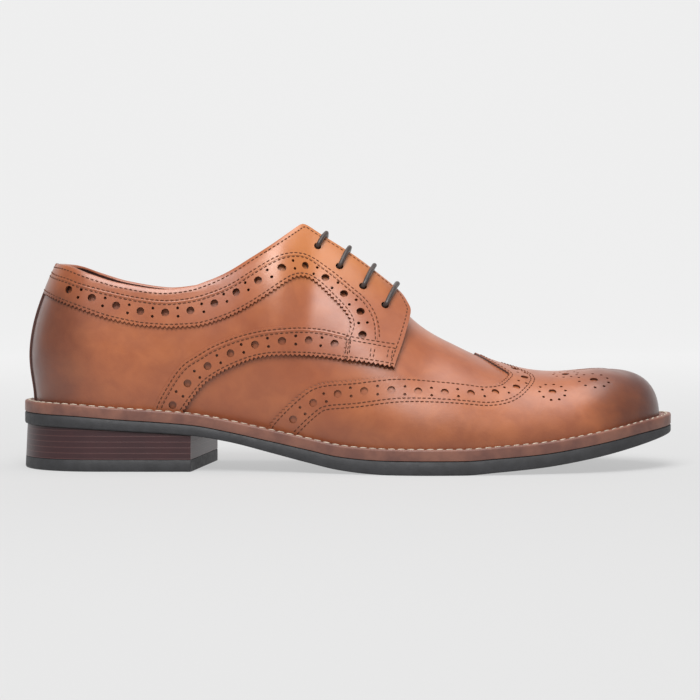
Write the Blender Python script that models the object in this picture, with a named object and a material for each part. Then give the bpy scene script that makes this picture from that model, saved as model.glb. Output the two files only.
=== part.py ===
"""Brogue shoe for the right foot: wing cap, open lacing, welted sole and stacked heel.

Metres, +Z up, toe along +X, the foot's inner (medial) side along +Y.
The floor is z = 0 and the origin is under the middle of the shoe.
"""

import math
from collections import namedtuple

import bmesh
import bpy
import numpy as np
from mathutils import Vector

# Overall sizes.
SHOE_LENGTH = 0.305
BALL_WIDTH = 0.109
INSTEP_HEIGHT = 0.100
HEEL_HEIGHT = 0.0207
TOE_SPRING = 0.0162

# Sole pieces.
OUTSOLE_THICK = 0.0063
OUTSOLE_EDGE_ROUND = 0.0008
WELT_THICK = 0.0050
WELT_SHOW = 0.0047
TOP_LIFT_THICK = 0.0054
HEEL_INSET = 0.0012
HEEL_FLARE = 0.0010
HEEL_BREAST_LATERAL = 0.080
HEEL_BREAST_MEDIAL = 0.089
INSOLE_THICK = 0.0026

# Upper.
UPPER_WALL = 0.0020
PANEL_THICK = 0.0013
FACING_THICK = 0.0021
BACK_STRIP_THICK = 0.0022
BACK_STRIP_WIDTH = 0.010
THROAT_HALF_WIDTH = 0.009
VAMP_THROAT_HALF_WIDTH = 0.022
FACING_LIFT = 0.0062
TONGUE_THICK = 0.0022
TONGUE_HALF_WIDTH = 0.026

# Lacing.
EYELET_BORE = 0.0036
EYELET_SPACING = 0.0105
EYELET_PAIRS = 4
EYELET_FROM_EDGE = 0.0083
TOP_EYELET_FROM_CORNER = 0.0070
LACE_DIAMETER = 0.0022

# Clearances between pieces.
CLEAR = 0.0003
PANEL_CLEAR = 0.00045
TONGUE_CLEAR = 0.0006
LAYER_CLEAR = 0.0002

# Rounding of the plan at both ends, and how square it is.
HEEL_ROUND = 0.037
TOE_ROUND = 0.0500
HEEL_SQUARENESS = 2.1
TOE_SQUARENESS = 2.2
HEEL_CENTRE = 0.036
TOE_CENTRE = 0.0305

# Where the section planes turn round the ends, as shares of the way from heel to toe.
HEEL_TURN = 0.206
HEEL_BLEND = 0.10
TOE_TURN = 0.198
TOE_BLEND = 0.12

# Plan of the sole. along: share of the length from the heel. lateral, medial, bend:
# half widths from the spine and the spine's own place, as shares of the ball width.
PlanRow = namedtuple("PlanRow", "along lateral medial bend")
PLAN = [
    PlanRow(0.00, 0.321, 0.317, 0.009),
    PlanRow(0.12, 0.321, 0.314, 0.009),
    PlanRow(0.21, 0.321, 0.302, 0.005),
    PlanRow(0.30, 0.318, 0.284, 0.000),
    PlanRow(0.40, 0.352, 0.280, -0.004),
    PlanRow(0.50, 0.431, 0.330, 0.000),
    PlanRow(0.60, 0.514, 0.440, 0.014),
    PlanRow(0.66, 0.519, 0.477, 0.023),
    PlanRow(0.76, 0.491, 0.440, 0.037),
    PlanRow(0.83, 0.452, 0.405, 0.043),
    PlanRow(0.90, 0.402, 0.368, 0.045),
    PlanRow(1.00, 0.330, 0.315, 0.045),
]

# Side view of the sole. heel, toe: height of its underside as shares of the heel
# height and the toe spring. thick: share of the outsole's thickness at the ball.
RiseRow = namedtuple("RiseRow", "along heel toe thick")
RISE = [
    RiseRow(0.000, 1.000, 0.000, 0.86),
    RiseRow(0.075, 0.970, 0.000, 0.86),
    RiseRow(0.146, 0.913, 0.000, 0.80),
    RiseRow(0.264, 0.800, 0.000, 0.75),
    RiseRow(0.320, 0.667, 0.000, 0.70),
    RiseRow(0.380, 0.450, 0.000, 0.80),
    RiseRow(0.440, 0.230, 0.000, 0.91),
    RiseRow(0.485, 0.087, 0.000, 0.94),
    RiseRow(0.525, 0.022, 0.000, 0.98),
    RiseRow(0.560, 0.000, 0.000, 1.00),
    RiseRow(0.670, 0.000, 0.000, 1.00),
    RiseRow(0.722, 0.000, 0.070, 0.98),
    RiseRow(0.792, 0.000, 0.190, 0.94),
    RiseRow(0.863, 0.000, 0.406, 0.92),
    RiseRow(0.937, 0.000, 0.700, 0.84),
    RiseRow(1.000, 0.000, 1.000, 0.56),
]

# Sections of the last, from the heel's back (0) to the toe's tip (1). top_reach: share
# of the ball width. top_height: above the seat, share of the instep height.
# top_pitch: fall of the wall at its top in degrees. top_pull, foot_pull: how far the
# wall keeps its direction. lean: outward lean at the foot, in degrees.
SectionRow = namedtuple(
    "SectionRow",
    "at top_reach top_height top_pitch top_pull lateral_lean lateral_pull medial_lean medial_pull")
SECTIONS = [
    SectionRow(0.00, 0.138, 0.860, 60, 0.30, 8, 0.35, 8, 0.35),
    SectionRow(0.10, 0.172, 0.845, 66, 0.32, 10, 0.35, 9, 0.35),
    SectionRow(0.20, 0.198, 0.846, 74, 0.34, 12, 0.36, 10, 0.36),
    SectionRow(0.30, 0.165, 0.925, 70, 0.36, 12, 0.38, 12, 0.38),
    SectionRow(0.35, 0.110, 1.010, 58, 0.42, 12, 0.39, 15, 0.41),
    SectionRow(0.40, 0.040, 1.066, 28, 0.52, 13, 0.40, 18, 0.44),
    SectionRow(0.45, 0.000, 1.026, 0, 0.60, 13, 0.41, 20, 0.46),
    SectionRow(0.50, 0.000, 0.927, 0, 0.60, 13, 0.42, 20, 0.47),
    SectionRow(0.55, 0.000, 0.768, 0, 0.56, 13, 0.44, 17, 0.47),
    SectionRow(0.60, 0.000, 0.601, 0, 0.54, 12, 0.47, 13, 0.48),
    SectionRow(0.65, 0.000, 0.505, 0, 0.54, 12, 0.52, 11, 0.53),
    SectionRow(0.70, 0.000, 0.420, 0, 0.56, 11, 0.57, 9, 0.58),
    SectionRow(0.75, 0.000, 0.361, 0, 0.58, 10, 0.61, 8, 0.63),
    SectionRow(0.80, 0.000, 0.329, 0, 0.62, 8, 0.65, 7, 0.67),
    SectionRow(0.85, 0.000, 0.316, 0, 0.65, 6, 0.68, 6, 0.70),
    SectionRow(0.90, 0.000, 0.302, 0, 0.68, 4, 0.72, 4, 0.73),
    SectionRow(1.00, 0.000, 0.302, 0, 0.70, 3, 0.75, 3, 0.75),
]

# Lines across the upper. along: share of the length from the heel.
# height: above the seat, share of the instep height.
LineRow = namedtuple("LineRow", "along height")
COLLAR_RIM = [
    LineRow(0.030, 0.700), LineRow(0.067, 0.698), LineRow(0.110, 0.664),
    LineRow(0.155, 0.634), LineRow(0.215, 0.618), LineRow(0.261, 0.642),
    LineRow(0.291, 0.686), LineRow(0.321, 0.746), LineRow(0.351, 0.819),
    LineRow(0.382, 0.898), LineRow(0.411, 0.982), LineRow(0.428, 1.030),
]
BAND_EDGE = [
    LineRow(0.030, 0.556), LineRow(0.085, 0.499), LineRow(0.144, 0.452),
    LineRow(0.199, 0.433), LineRow(0.248, 0.443), LineRow(0.299, 0.499),
    LineRow(0.351, 0.614), LineRow(0.392, 0.721), LineRow(0.416, 0.774),
    LineRow(0.432, 0.776), LineRow(0.454, 0.745), LineRow(0.489, 0.674),
    LineRow(0.506, 0.630),
]
TAB_FOOT = [
    LineRow(0.493, 0.441), LineRow(0.523, 0.431), LineRow(0.600, 0.418),
]
STRAP_TOP = [
    LineRow(0.205, 0.020), LineRow(0.229, 0.141), LineRow(0.250, 0.237),
    LineRow(0.269, 0.307), LineRow(0.301, 0.375), LineRow(0.335, 0.446),
    LineRow(0.370, 0.495), LineRow(0.411, 0.534), LineRow(0.454, 0.553),
    LineRow(0.506, 0.554),
]
STRAP_FOOT = [
    LineRow(0.240, -0.030), LineRow(0.251, 0.055), LineRow(0.266, 0.119),
    LineRow(0.295, 0.225), LineRow(0.328, 0.310), LineRow(0.370, 0.376),
    LineRow(0.404, 0.409), LineRow(0.438, 0.431), LineRow(0.506, 0.449),
]
WING_EDGE = [
    LineRow(0.375, 0.020), LineRow(0.382, 0.080), LineRow(0.396, 0.138),
    LineRow(0.419, 0.221), LineRow(0.446, 0.298), LineRow(0.469, 0.332),
    LineRow(0.500, 0.352), LineRow(0.569, 0.380), LineRow(0.636, 0.360),
    LineRow(0.680, 0.342), LineRow(0.705, 0.325), LineRow(0.724, 0.322),
    LineRow(0.735, 0.338), LineRow(0.746, 0.358),
]

# Back edge of the wing cap's middle peak. reach: share of the ball width.
PeakRow = namedtuple("PeakRow", "along reach")
WING_PEAK = [
    PeakRow(0.695, 0.000), PeakRow(0.718, 0.095), PeakRow(0.735, 0.147),
    PeakRow(0.746, 0.170),
]

# Places along the shoe, as shares of its length.
TAB_BACK = 0.506
FACING_FRONT_TOP = 0.597
FACING_FRONT_FOOT = 0.569
FACING_CORNER_ROUND = 0.020
FACING_TOP_CORNER = 0.432
VAMP_THROAT = 0.568
VAMP_THROAT_ROUND = 0.075
TONGUE_TOP = 0.434
TONGUE_FOOT = 0.612
LIFT_START = 0.455
LIFT_SPREAD = 0.30

# Fineness of the facets.
HEEL_STEPS = 8
SIDE_STEPS = 22
TOE_STEPS = 10
WALL_STEPS = 10
ACROSS_STEPS = 3
LACE_SIDES = 8
EYELET_SIDES = 16

LATERAL = -1
MEDIAL = 1


def clear_scene():
    for thing in list(bpy.data.objects):
        bpy.data.objects.remove(thing, do_unlink=True)


def steady_curve(points):
    """A curve through the points that never overshoots them."""
    xs = np.array([p[0] for p in points], float)
    ys = np.array([p[1] for p in points], float)
    steps = np.diff(xs)
    slopes = np.diff(ys) / steps
    tangents = np.zeros(len(xs))
    tangents[0] = slopes[0]
    tangents[-1] = slopes[-1]
    for i in range(1, len(xs) - 1):
        if slopes[i - 1] * slopes[i] > 0:
            w1 = 2 * steps[i] + steps[i - 1]
            w2 = steps[i] + 2 * steps[i - 1]
            tangents[i] = (w1 + w2) / (w1 / slopes[i - 1] + w2 / slopes[i])

    def value(x):
        if x <= xs[0]:
            return float(ys[0] + tangents[0] * (x - xs[0]))
        if x >= xs[-1]:
            return float(ys[-1] + tangents[-1] * (x - xs[-1]))
        i = int(np.searchsorted(xs, x)) - 1
        i = max(i, 0)
        t = (x - xs[i]) / steps[i]
        return float((2 * t**3 - 3 * t**2 + 1) * ys[i] + (t**3 - 2 * t**2 + t) * steps[i] * tangents[i]
                     + (3 * t**2 - 2 * t**3) * ys[i + 1] + (t**3 - t**2) * steps[i] * tangents[i + 1])

    return value


def smooth_curve(points):
    """A curve through the points with even curvature, level at both ends."""
    xs = np.array([p[0] for p in points], float)
    ys = np.array([p[1] for p in points], float)
    n = len(xs)
    h = np.diff(xs)
    matrix = np.zeros((n, n))
    right = np.zeros(n)
    matrix[0, 0] = 1
    matrix[-1, -1] = 1
    for i in range(1, n - 1):
        matrix[i, i - 1] = 1 / h[i - 1]
        matrix[i, i] = 2 / h[i - 1] + 2 / h[i]
        matrix[i, i + 1] = 1 / h[i]
        right[i] = 3 * ((ys[i] - ys[i - 1]) / h[i - 1]**2 + (ys[i + 1] - ys[i]) / h[i]**2)
    tangents = np.linalg.solve(matrix, right)

    def value(x):
        x = min(max(x, xs[0]), xs[-1])
        i = min(max(int(np.searchsorted(xs, x)) - 1, 0), n - 2)
        t = (x - xs[i]) / h[i]
        return float((2 * t**3 - 3 * t**2 + 1) * ys[i] + (t**3 - 2 * t**2 + t) * h[i] * tangents[i]
                     + (3 * t**2 - 2 * t**3) * ys[i + 1] + (t**3 - t**2) * h[i] * tangents[i + 1])

    return value


def column(rows, name, key, kind):
    return kind([(getattr(row, key), getattr(row, name)) for row in rows])


def along_of(x):
    return x / SHOE_LENGTH + 0.5


def x_of(along):
    return (along - 0.5) * SHOE_LENGTH


HALF_WIDTHS = {LATERAL: column(PLAN, "lateral", "along", smooth_curve),
               MEDIAL: column(PLAN, "medial", "along", smooth_curve)}
BEND = column(PLAN, "bend", "along", smooth_curve)
HEEL_RISE = column(RISE, "heel", "along", steady_curve)
TOE_RISE = column(RISE, "toe", "along", steady_curve)
THICKNESS = column(RISE, "thick", "along", steady_curve)
SECTION = {name: column(SECTIONS, name, "at", smooth_curve) for name in SectionRow._fields[1:]}
LEAN = {LATERAL: SECTION["lateral_lean"], MEDIAL: SECTION["medial_lean"]}
PULL = {LATERAL: SECTION["lateral_pull"], MEDIAL: SECTION["medial_pull"]}


def underside(x):
    along = along_of(x)
    return max(HEEL_RISE(along), 0) * HEEL_HEIGHT + max(TOE_RISE(along), 0) * TOE_SPRING


def seat(x):
    """Height of the outsole's upper face, on which welt, insole and upper stand."""
    return underside(x) + THICKNESS(along_of(x)) * OUTSOLE_THICK


def welt_top(x):
    return seat(x) + CLEAR + WELT_THICK


def half_width(x, side):
    """Half width of the sole's plan from the spine, rounded off at both ends."""
    width = HALF_WIDTHS[side](along_of(x)) * BALL_WIDTH
    into_toe = (x - (SHOE_LENGTH / 2 - TOE_ROUND)) / TOE_ROUND
    into_heel = (HEEL_ROUND - SHOE_LENGTH / 2 - x) / HEEL_ROUND
    if into_toe > 0:
        width *= max(1 - min(into_toe, 1)**TOE_SQUARENESS, 0)**(1 / TOE_SQUARENESS)
    if into_heel > 0:
        width *= max(1 - min(into_heel, 1)**HEEL_SQUARENESS, 0)**(1 / HEEL_SQUARENESS)
    return width


def eased(t):
    if t <= 0:
        return 0.0
    if t >= 1:
        return t - 0.5
    return t**3 - t**4 / 2


def turned(at):
    """How far the section plane has turned at the heel and at the toe."""
    heel = HEEL_BLEND * eased((HEEL_TURN - at) / HEEL_BLEND)
    toe = TOE_BLEND * eased((at - 1 + TOE_TURN) / TOE_BLEND)
    return heel, toe


def spine(at, side):
    """Start and direction in plan of the half section at this station."""
    heel, toe = turned(at)
    heel_all = turned(0)[0]
    toe_all = turned(1)[1]
    travelled = (at + heel - heel_all - toe) / (1 - heel_all - toe_all)
    first = HEEL_CENTRE - SHOE_LENGTH / 2
    last = SHOE_LENGTH / 2 - TOE_CENTRE
    x = first + (last - first) * travelled
    angle = math.pi / 2 * (1 - heel / heel_all + toe / toe_all)
    y = BEND(along_of(x)) * BALL_WIDTH
    return x, y, -math.cos(angle), side * math.sin(angle)


def station_at(along):
    """Station whose spine point lies at this share of the length."""
    target = x_of(along)
    low, high = 0.0, 1.0
    for _ in range(40):
        middle = (low + high) / 2
        if spine(middle, LATERAL)[0] < target:
            low = middle
        else:
            high = middle
    return (low + high) / 2


REACH_FOUND = {}


def sole_reach(at, side):
    """Distance from the spine to the sole's edge along the section plane."""
    key = (round(at, 7), side)
    if key in REACH_FOUND:
        return REACH_FOUND[key]
    x, y, dx, dy = spine(at, side)
    low, high = 0.0, BALL_WIDTH
    for _ in range(40):
        middle = (low + high) / 2
        px = x + dx * middle
        py = y + dy * middle
        off_spine = abs(py - BEND(along_of(px)) * BALL_WIDTH)
        if abs(px) < SHOE_LENGTH / 2 and off_spine < half_width(px, side):
            low = middle
        else:
            high = middle
    REACH_FOUND[key] = low
    return low


def sole_point(at, side, inset, height=None):
    """Point on a line that follows the sole's edge at this inset."""
    x, y, dx, dy = spine(at, side)
    reach = sole_reach(at, side) - inset
    px = x + dx * reach
    return Vector((px, y + dy * reach, height(px) if height else 0.0))


FEATHER_INSET = WELT_SHOW + PANEL_CLEAR + PANEL_THICK
WALLS_FOUND = {}


def wall_points(at, side):
    """Control points (reach, height) of the wall's curve at this station."""
    key = (round(at, 7), side)
    if key in WALLS_FOUND:
        return WALLS_FOUND[key]
    x, y, dx, dy = spine(at, side)
    foot_reach = sole_reach(at, side) - FEATHER_INSET
    foot_height = seat(x + dx * foot_reach) + CLEAR
    top_reach = max(SECTION["top_reach"](at), 0) * BALL_WIDTH
    if SECTION["top_reach"](at) < 0.002:
        top_reach = 0.0
    top_height = seat(x) + SECTION["top_height"](at) * INSTEP_HEIGHT
    pitch = math.radians(max(SECTION["top_pitch"](at), 0))
    span = foot_reach - top_reach
    rise = top_height - foot_height
    pull = SECTION["top_pull"](at) * (math.cos(pitch) * span + math.sin(pitch) * rise)
    lean = math.radians(LEAN[side](at))
    push = PULL[side](at) * rise
    points = (
        (foot_reach, foot_height),
        (foot_reach + push * math.sin(lean), foot_height + push * math.cos(lean)),
        (top_reach + pull * math.cos(pitch), top_height - pull * math.sin(pitch)),
        (top_reach, top_height),
    )
    WALLS_FOUND[key] = points
    return points


def wall(at, side, v):
    """Reach and height of the wall, from its foot (v = 0) to its top (v = 1)."""
    p = wall_points(at, side)
    a, b, c, d = (1 - v)**3, 3 * v * (1 - v)**2, 3 * v**2 * (1 - v), v**3
    return tuple(a * p[0][k] + b * p[1][k] + c * p[2][k] + d * p[3][k] for k in (0, 1))


def base_point(at, side, v):
    x, y, dx, dy = spine(at, side)
    reach, height = wall(at, side, v)
    return Vector((x + dx * reach, y + dy * reach, height))


def base_normal(at, side, v):
    """Outward normal of the last's surface."""
    if v > 0.999 and wall_points(at, side)[3][0] == 0:
        step = 0.004
        ahead = wall_points(min(at + step, 1), side)[3][1]
        behind = wall_points(max(at - step, 0), side)[3][1]
        run = spine(min(at + step, 1), side)[0] - spine(max(at - step, 0), side)[0]
        slope = (ahead - behind) / run if run > 1e-5 else 0.0
        return Vector((-slope, 0, 1)).normalized()
    da = 0.002
    dv = 0.004
    v = min(v, 1 - dv)
    a0, a1 = max(at - da, 0), min(at + da, 1)
    v0, v1 = max(v - dv, 0), min(v + dv, 1)
    lengthwise = base_point(a1, side, v) - base_point(a0, side, v)
    upward = base_point(at, side, v1) - base_point(at, side, v0)
    normal = lengthwise.cross(upward)
    x, y, dx, dy = spine(at, side)
    if at in (0, 1):
        across = Vector((dx, dy, 0))
        normal = across * upward.z - Vector((0, 0, 1)) * upward.dot(across)
    if normal.dot(Vector((dx, dy, 0.35))) < 0:
        normal = -normal
    return normal.normalized()


def surface(at, side, v, offset=0.0):
    point = base_point(at, side, v)
    return point + base_normal(at, side, v) * offset if offset else point


def level_on(at, side, line, above=0.0):
    """v where the wall crosses a line given by its height above the seat."""
    low, high = 0.0, 1.0
    for _ in range(36):
        middle = (low + high) / 2
        point = base_point(at, side, middle)
        height = seat(point.x) + line(along_of(point.x)) * INSTEP_HEIGHT + above
        if point.z < height:
            low = middle
        else:
            high = middle
    return (low + high) / 2


def reach_on(at, side, reach):
    """v where the wall, going up, comes in to this reach from the spine."""
    low, high = 0.3, 1.0
    for _ in range(36):
        middle = (low + high) / 2
        if wall(at, side, middle)[0] > reach:
            low = middle
        else:
            high = middle
    return (low + high) / 2


def welt_level(at, side):
    low, high = 0.0, 1.0
    for _ in range(36):
        middle = (low + high) / 2
        point = surface(at, side, middle, PANEL_CLEAR + FACING_THICK)
        if point.z < welt_top(point.x) + CLEAR:
            low = middle
        else:
            high = middle
    return (low + high) / 2


RIM_LINE = column(COLLAR_RIM, "height", "along", steady_curve)
BAND_LINE = column(BAND_EDGE, "height", "along", steady_curve)
TAB_LINE = column(TAB_FOOT, "height", "along", steady_curve)
STRAP_TOP_LINE = column(STRAP_TOP, "height", "along", steady_curve)
STRAP_FOOT_LINE = column(STRAP_FOOT, "height", "along", steady_curve)
WING_LINE = column(WING_EDGE, "height", "along", steady_curve)
PEAK_LINE = column(WING_PEAK, "reach", "along", steady_curve)


def facing_edge(at, side):
    """v of the facing's free edge, with its rounded front corner."""
    along = along_of(spine(at, side)[0])
    reach = THROAT_HALF_WIDTH
    into = (along - (FACING_FRONT_TOP - FACING_CORNER_ROUND)) / FACING_CORNER_ROUND
    if into > 0:
        drop = 1 - math.sqrt(max(1 - min(into, 1)**2, 0))
        reach += drop * FACING_CORNER_ROUND * SHOE_LENGTH
    return reach_on(at, side, reach)


def opening_edge(at, side, half_gap):
    """v of the edge round the foot's opening: collar rim, then throat."""
    along = along_of(spine(at, side)[0])
    rim = level_on(at, side, RIM_LINE) if along < FACING_TOP_CORNER + 0.02 else 1.0
    throat = 1.0
    if along > FACING_TOP_CORNER - 0.05:
        throat = reach_on(at, side, half_gap)
    return min(rim, throat)


def facing_lift(at, side, v):
    """The facing stands off the vamp towards its front corner."""
    along = along_of(spine(at, side)[0])
    reach = wall(at, side, v)[0]
    forward = (along - LIFT_START) / (FACING_FRONT_TOP - LIFT_START)
    forward = min(max(forward, 0), 1)
    outward = (reach - THROAT_HALF_WIDTH) / (LIFT_SPREAD * BALL_WIDTH)
    outward = min(max(outward, 0), 1)
    fade = 1 - outward * outward * (3 - 2 * outward)
    return FACING_LIFT * forward**1.5 * fade


class Shell:
    """Faces collected by their corner points, joined where the points meet."""

    def __init__(self):
        self.mesh = bmesh.new()
        self.found = {}

    def vertex(self, point):
        key = (round(point[0], 6), round(point[1], 6), round(point[2], 6))
        if key not in self.found:
            self.found[key] = self.mesh.verts.new(point)
        return self.found[key]

    def face(self, points, fold=None):
        """fold: the direction to which a bent quad's own crease goes."""
        verts = []
        for point in points:
            vert = self.vertex(point)
            if vert not in verts:
                verts.append(vert)
        if len(verts) < 3:
            return
        if len(verts) == 4:
            a, b, c, d = verts
            if fold is None:
                crossed = (a.co - c.co).length > (b.co - d.co).length
            else:
                crossed = (a.co + c.co - b.co - d.co).dot(fold) < 0
            splits = (((a, b, c), (a, c, d)), ((a, b, d), (b, c, d)))
            pairs = splits[1] if crossed else splits[0]
            if any(self.mesh.faces.get(three) for three in pairs):
                pairs = splits[0] if crossed else splits[1]
        else:
            pairs = (tuple(verts),)
        for three in pairs:
            self.mesh.faces.new(three)

    def finish(self, name, material):
        bmesh.ops.recalc_face_normals(self.mesh, faces=self.mesh.faces[:])
        data = bpy.data.meshes.new(name)
        self.mesh.to_mesh(data)
        self.mesh.free()
        data.materials.append(material)
        data.shade_smooth()
        data.set_sharp_from_angle(angle=math.radians(35))
        thing = bpy.data.objects.new(name, data)
        bpy.context.scene.collection.objects.link(thing)
        return thing


def sheet(name, material, cells, inner, outer, lift=None, folds=(1, 1)):
    """A curved sheet over the last. cells: quads of (at, side, v).

    folds: whether the creases of its inner and outer facets go out (1) or in (-1).
    """
    shell = Shell()
    corners = {}

    def corner(place):
        at, side, v = place
        base = base_point(at, side, v)
        key = (round(base.x, 6), round(base.y, 6), round(base.z, 6))
        if key not in corners:
            raised = lift(at, side, v) if lift else 0.0
            normal = base_normal(at, side, v)
            corners[key] = (base + normal * (inner + raised), base + normal * (outer + raised))
        return key

    edges = {}
    for cell in cells:
        keys = []
        for place in cell:
            key = corner(place)
            if key not in keys:
                keys.append(key)
        if len(keys) < 3:
            continue
        middle = [sum(place[k] for place in cell) / len(cell) for k in (0, 2)]
        out = base_normal(middle[0], cell[0][1], middle[1])
        shell.face([corners[key][1] for key in keys], out * folds[1])
        shell.face([corners[key][0] for key in reversed(keys)], out * folds[0])
        for a, b in zip(keys, keys[1:] + keys[:1]):
            pair = frozenset((a, b))
            edges[pair] = None if pair in edges else (a, b)
    for pair in edges.values():
        if pair:
            a, b = pair
            shell.face([corners[a][0], corners[b][0], corners[b][1], corners[a][1]])
    return shell.finish(name, material)


def stations():
    """Stations from the heel's back to the toe's tip, closer at the ends."""
    heel = [HEEL_TURN * i / HEEL_STEPS for i in range(HEEL_STEPS)]
    middle = 1 - TOE_TURN - HEEL_TURN
    sides = [HEEL_TURN + middle * i / SIDE_STEPS for i in range(SIDE_STEPS)]
    toe = [1 - TOE_TURN + TOE_TURN * i / TOE_STEPS for i in range(TOE_STEPS + 1)]
    features = [station_at(along) for along in (
        WING_PEAK[0].along, WING_PEAK[1].along, WING_PEAK[2].along, WING_EDGE[-1].along,
        WING_EDGE[-1].along + 0.015, FACING_FRONT_FOOT, FACING_FRONT_TOP)]
    spread = [at for at in heel + sides + toe if min(abs(at - mark) for mark in features) > 0.006]
    return sorted(spread + features)


STATIONS = stations()


def stations_between(first, last):
    apart = 0.004
    inner = [at for at in STATIONS if first + apart < at < last - apart]
    return [first] + inner + [last]


def strip_cells(places, side, low, high, rows):
    """Quads between two lines, low(at) and high(at), along these stations."""
    cells = []
    for a, b in zip(places, places[1:]):
        for i in range(rows):
            t0, t1 = i / rows, (i + 1) / rows
            la, ha, lb, hb = low(a), high(a), low(b), high(b)
            cells.append((
                (a, side, la + (ha - la) * t0), (b, side, lb + (hb - lb) * t0),
                (b, side, lb + (hb - lb) * t1), (a, side, la + (ha - la) * t1)))
    return cells


def make_upper(material):
    """Vamp and quarters as one hollow shell, open at throat, collar and foot."""
    throat_station = station_at(VAMP_THROAT)

    def edge(at, side):
        if at >= throat_station:
            return 1.0
        behind = (VAMP_THROAT - along_of(spine(at, side)[0])) / VAMP_THROAT_ROUND
        opening = 1 - (1 - min(behind, 1))**2
        return opening_edge(at, side, VAMP_THROAT_HALF_WIDTH * math.sqrt(max(opening, 0)))

    places = sorted(set(STATIONS) | {throat_station, throat_station - 0.004, throat_station - 0.012})
    places = [at for i, at in enumerate(places) if i == 0 or at - places[i - 1] > 0.003]
    cells = []
    for side in (LATERAL, MEDIAL):
        cells += strip_cells(places, side, lambda at: 0.0, lambda at, s=side: edge(at, s), WALL_STEPS)
    return sheet("upper", material, cells, -UPPER_WALL, 0.0, folds=(1, -1))


def make_tongue(material):
    first, last = station_at(TONGUE_TOP), station_at(TONGUE_FOOT)
    cells = []
    for side in (LATERAL, MEDIAL):
        cells += strip_cells(stations_between(first, last), side,
                             lambda at, s=side: reach_on(at, s, TONGUE_HALF_WIDTH), lambda at: 1.0, 6)
    outer = -UPPER_WALL - TONGUE_CLEAR
    return sheet("tongue", material, cells, outer - TONGUE_THICK, outer, folds=(-1, -1))


def make_wing_cap(material):
    first = station_at(WING_EDGE[1].along - 0.004)
    valley = station_at(WING_EDGE[-1].along)
    peak = station_at(WING_PEAK[0].along)
    cells = []
    low_rows, high_rows = 6, 4
    notches = {side: level_on(valley, side, WING_LINE) for side in (LATERAL, MEDIAL)}
    at_tip = (notches[LATERAL] + notches[MEDIAL]) / 2
    for side in (LATERAL, MEDIAL):
        notch = notches[side]

        def belt(at, side_notch=notch):
            return side_notch + (at_tip - side_notch) * (at - valley) / (1 - valley)

        def foot(at, s=side):
            return welt_level(at, s)

        def wing(at, s=side):
            return max(level_on(at, s, WING_LINE), foot(at) + 0.01)

        def crown(at, s=side):
            along = along_of(spine(at, s)[0])
            return reach_on(at, s, max(PEAK_LINE(along), 0) * BALL_WIDTH)

        wings = stations_between(first, valley)
        cells += strip_cells(wings, side, foot, lambda at: notch if at == valley else wing(at), low_rows)
        crowns = stations_between(peak, valley)
        cells += strip_cells(crowns, side, lambda at: notch if at == valley else crown(at),
                             lambda at: 1.0, high_rows)
        front = stations_between(valley, 1.0)
        cells += strip_cells(front, side, foot, belt, low_rows)
        cells += strip_cells(front, side, belt, lambda at: 1.0, high_rows)
    return sheet("wing_cap", material, cells, PANEL_CLEAR, PANEL_CLEAR + PANEL_THICK)


def back_station():
    """Station at the edge of the back strip."""
    return HEEL_TURN * (BACK_STRIP_WIDTH / 2 + CLEAR / 2) / (HEEL_ROUND * math.pi / 2)


def make_back_strip(material):
    last = back_station() - 0.0012
    cells = []
    for side in (LATERAL, MEDIAL):
        cells += strip_cells([0.0, last], side, lambda at, s=side: welt_level(at, s),
                             lambda at, s=side: opening_edge(at, s, THROAT_HALF_WIDTH), WALL_STEPS)
    return sheet("back_strip", material, cells, PANEL_CLEAR, PANEL_CLEAR + BACK_STRIP_THICK)


def make_collar_band(name, side, material):
    """Band along the collar and the facing, down to the tab on the vamp."""
    first = back_station()
    step = station_at(TAB_BACK)
    front = station_at(FACING_FRONT_TOP)
    cut = station_at(FACING_FRONT_FOOT)

    def high(at):
        if at <= station_at(FACING_TOP_CORNER):
            return opening_edge(at, side, THROAT_HALF_WIDTH)
        return facing_edge(at, side)

    def band_low(at):
        return level_on(at, side, BAND_LINE)

    def tab_low(at):
        foot = level_on(at, side, TAB_LINE)
        if at <= cut:
            return foot
        share = (at - cut) / (front - cut)
        return foot + (high(at) - foot - 0.03) * share

    corner = station_at(FACING_TOP_CORNER)
    places = [at for at in stations_between(first, step) if abs(at - corner) > 0.006]
    places = sorted(places + [corner, corner - 0.008, corner + 0.008])
    cells = strip_cells(places, side, band_low, high, 4)
    tab = stations_between(step + 0.004, cut) + [cut + (front - cut) * i / 4 for i in range(1, 5)]
    cells += strip_cells([step, step + 0.004], side,
                         lambda at: band_low(at) if at == step else tab_low(at), high, 4)
    cells += strip_cells(tab, side, tab_low, high, 4)
    return sheet(name, material, cells, PANEL_CLEAR, PANEL_CLEAR + FACING_THICK, facing_lift)


def panel_gap(at, side, v, sign):
    """A small step in v that leaves the clearance between two panels."""
    near = base_point(at, side, v)
    far = base_point(at, side, v + 0.01)
    return v + sign * 0.01 * CLEAR / max((far - near).length, 1e-6)


def strap_stations(first, last):
    """Stations that both sides of the strap's edge share, closer where it is steep."""
    places = stations_between(first, last)
    steep_end = station_at(STRAP_TOP[5].along)
    steep_start = station_at(STRAP_TOP[0].along)
    halves = [(a + b) / 2 for a, b in zip(places, places[1:]) if steep_start < b and a < steep_end]
    fixed = [station_at(STRAP_TOP[0].along + 0.010)] if first < steep_start else []
    places = sorted(set(places + halves + fixed))
    return [at for i, at in enumerate(places) if i == 0 or at - places[i - 1] > 0.002]


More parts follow.
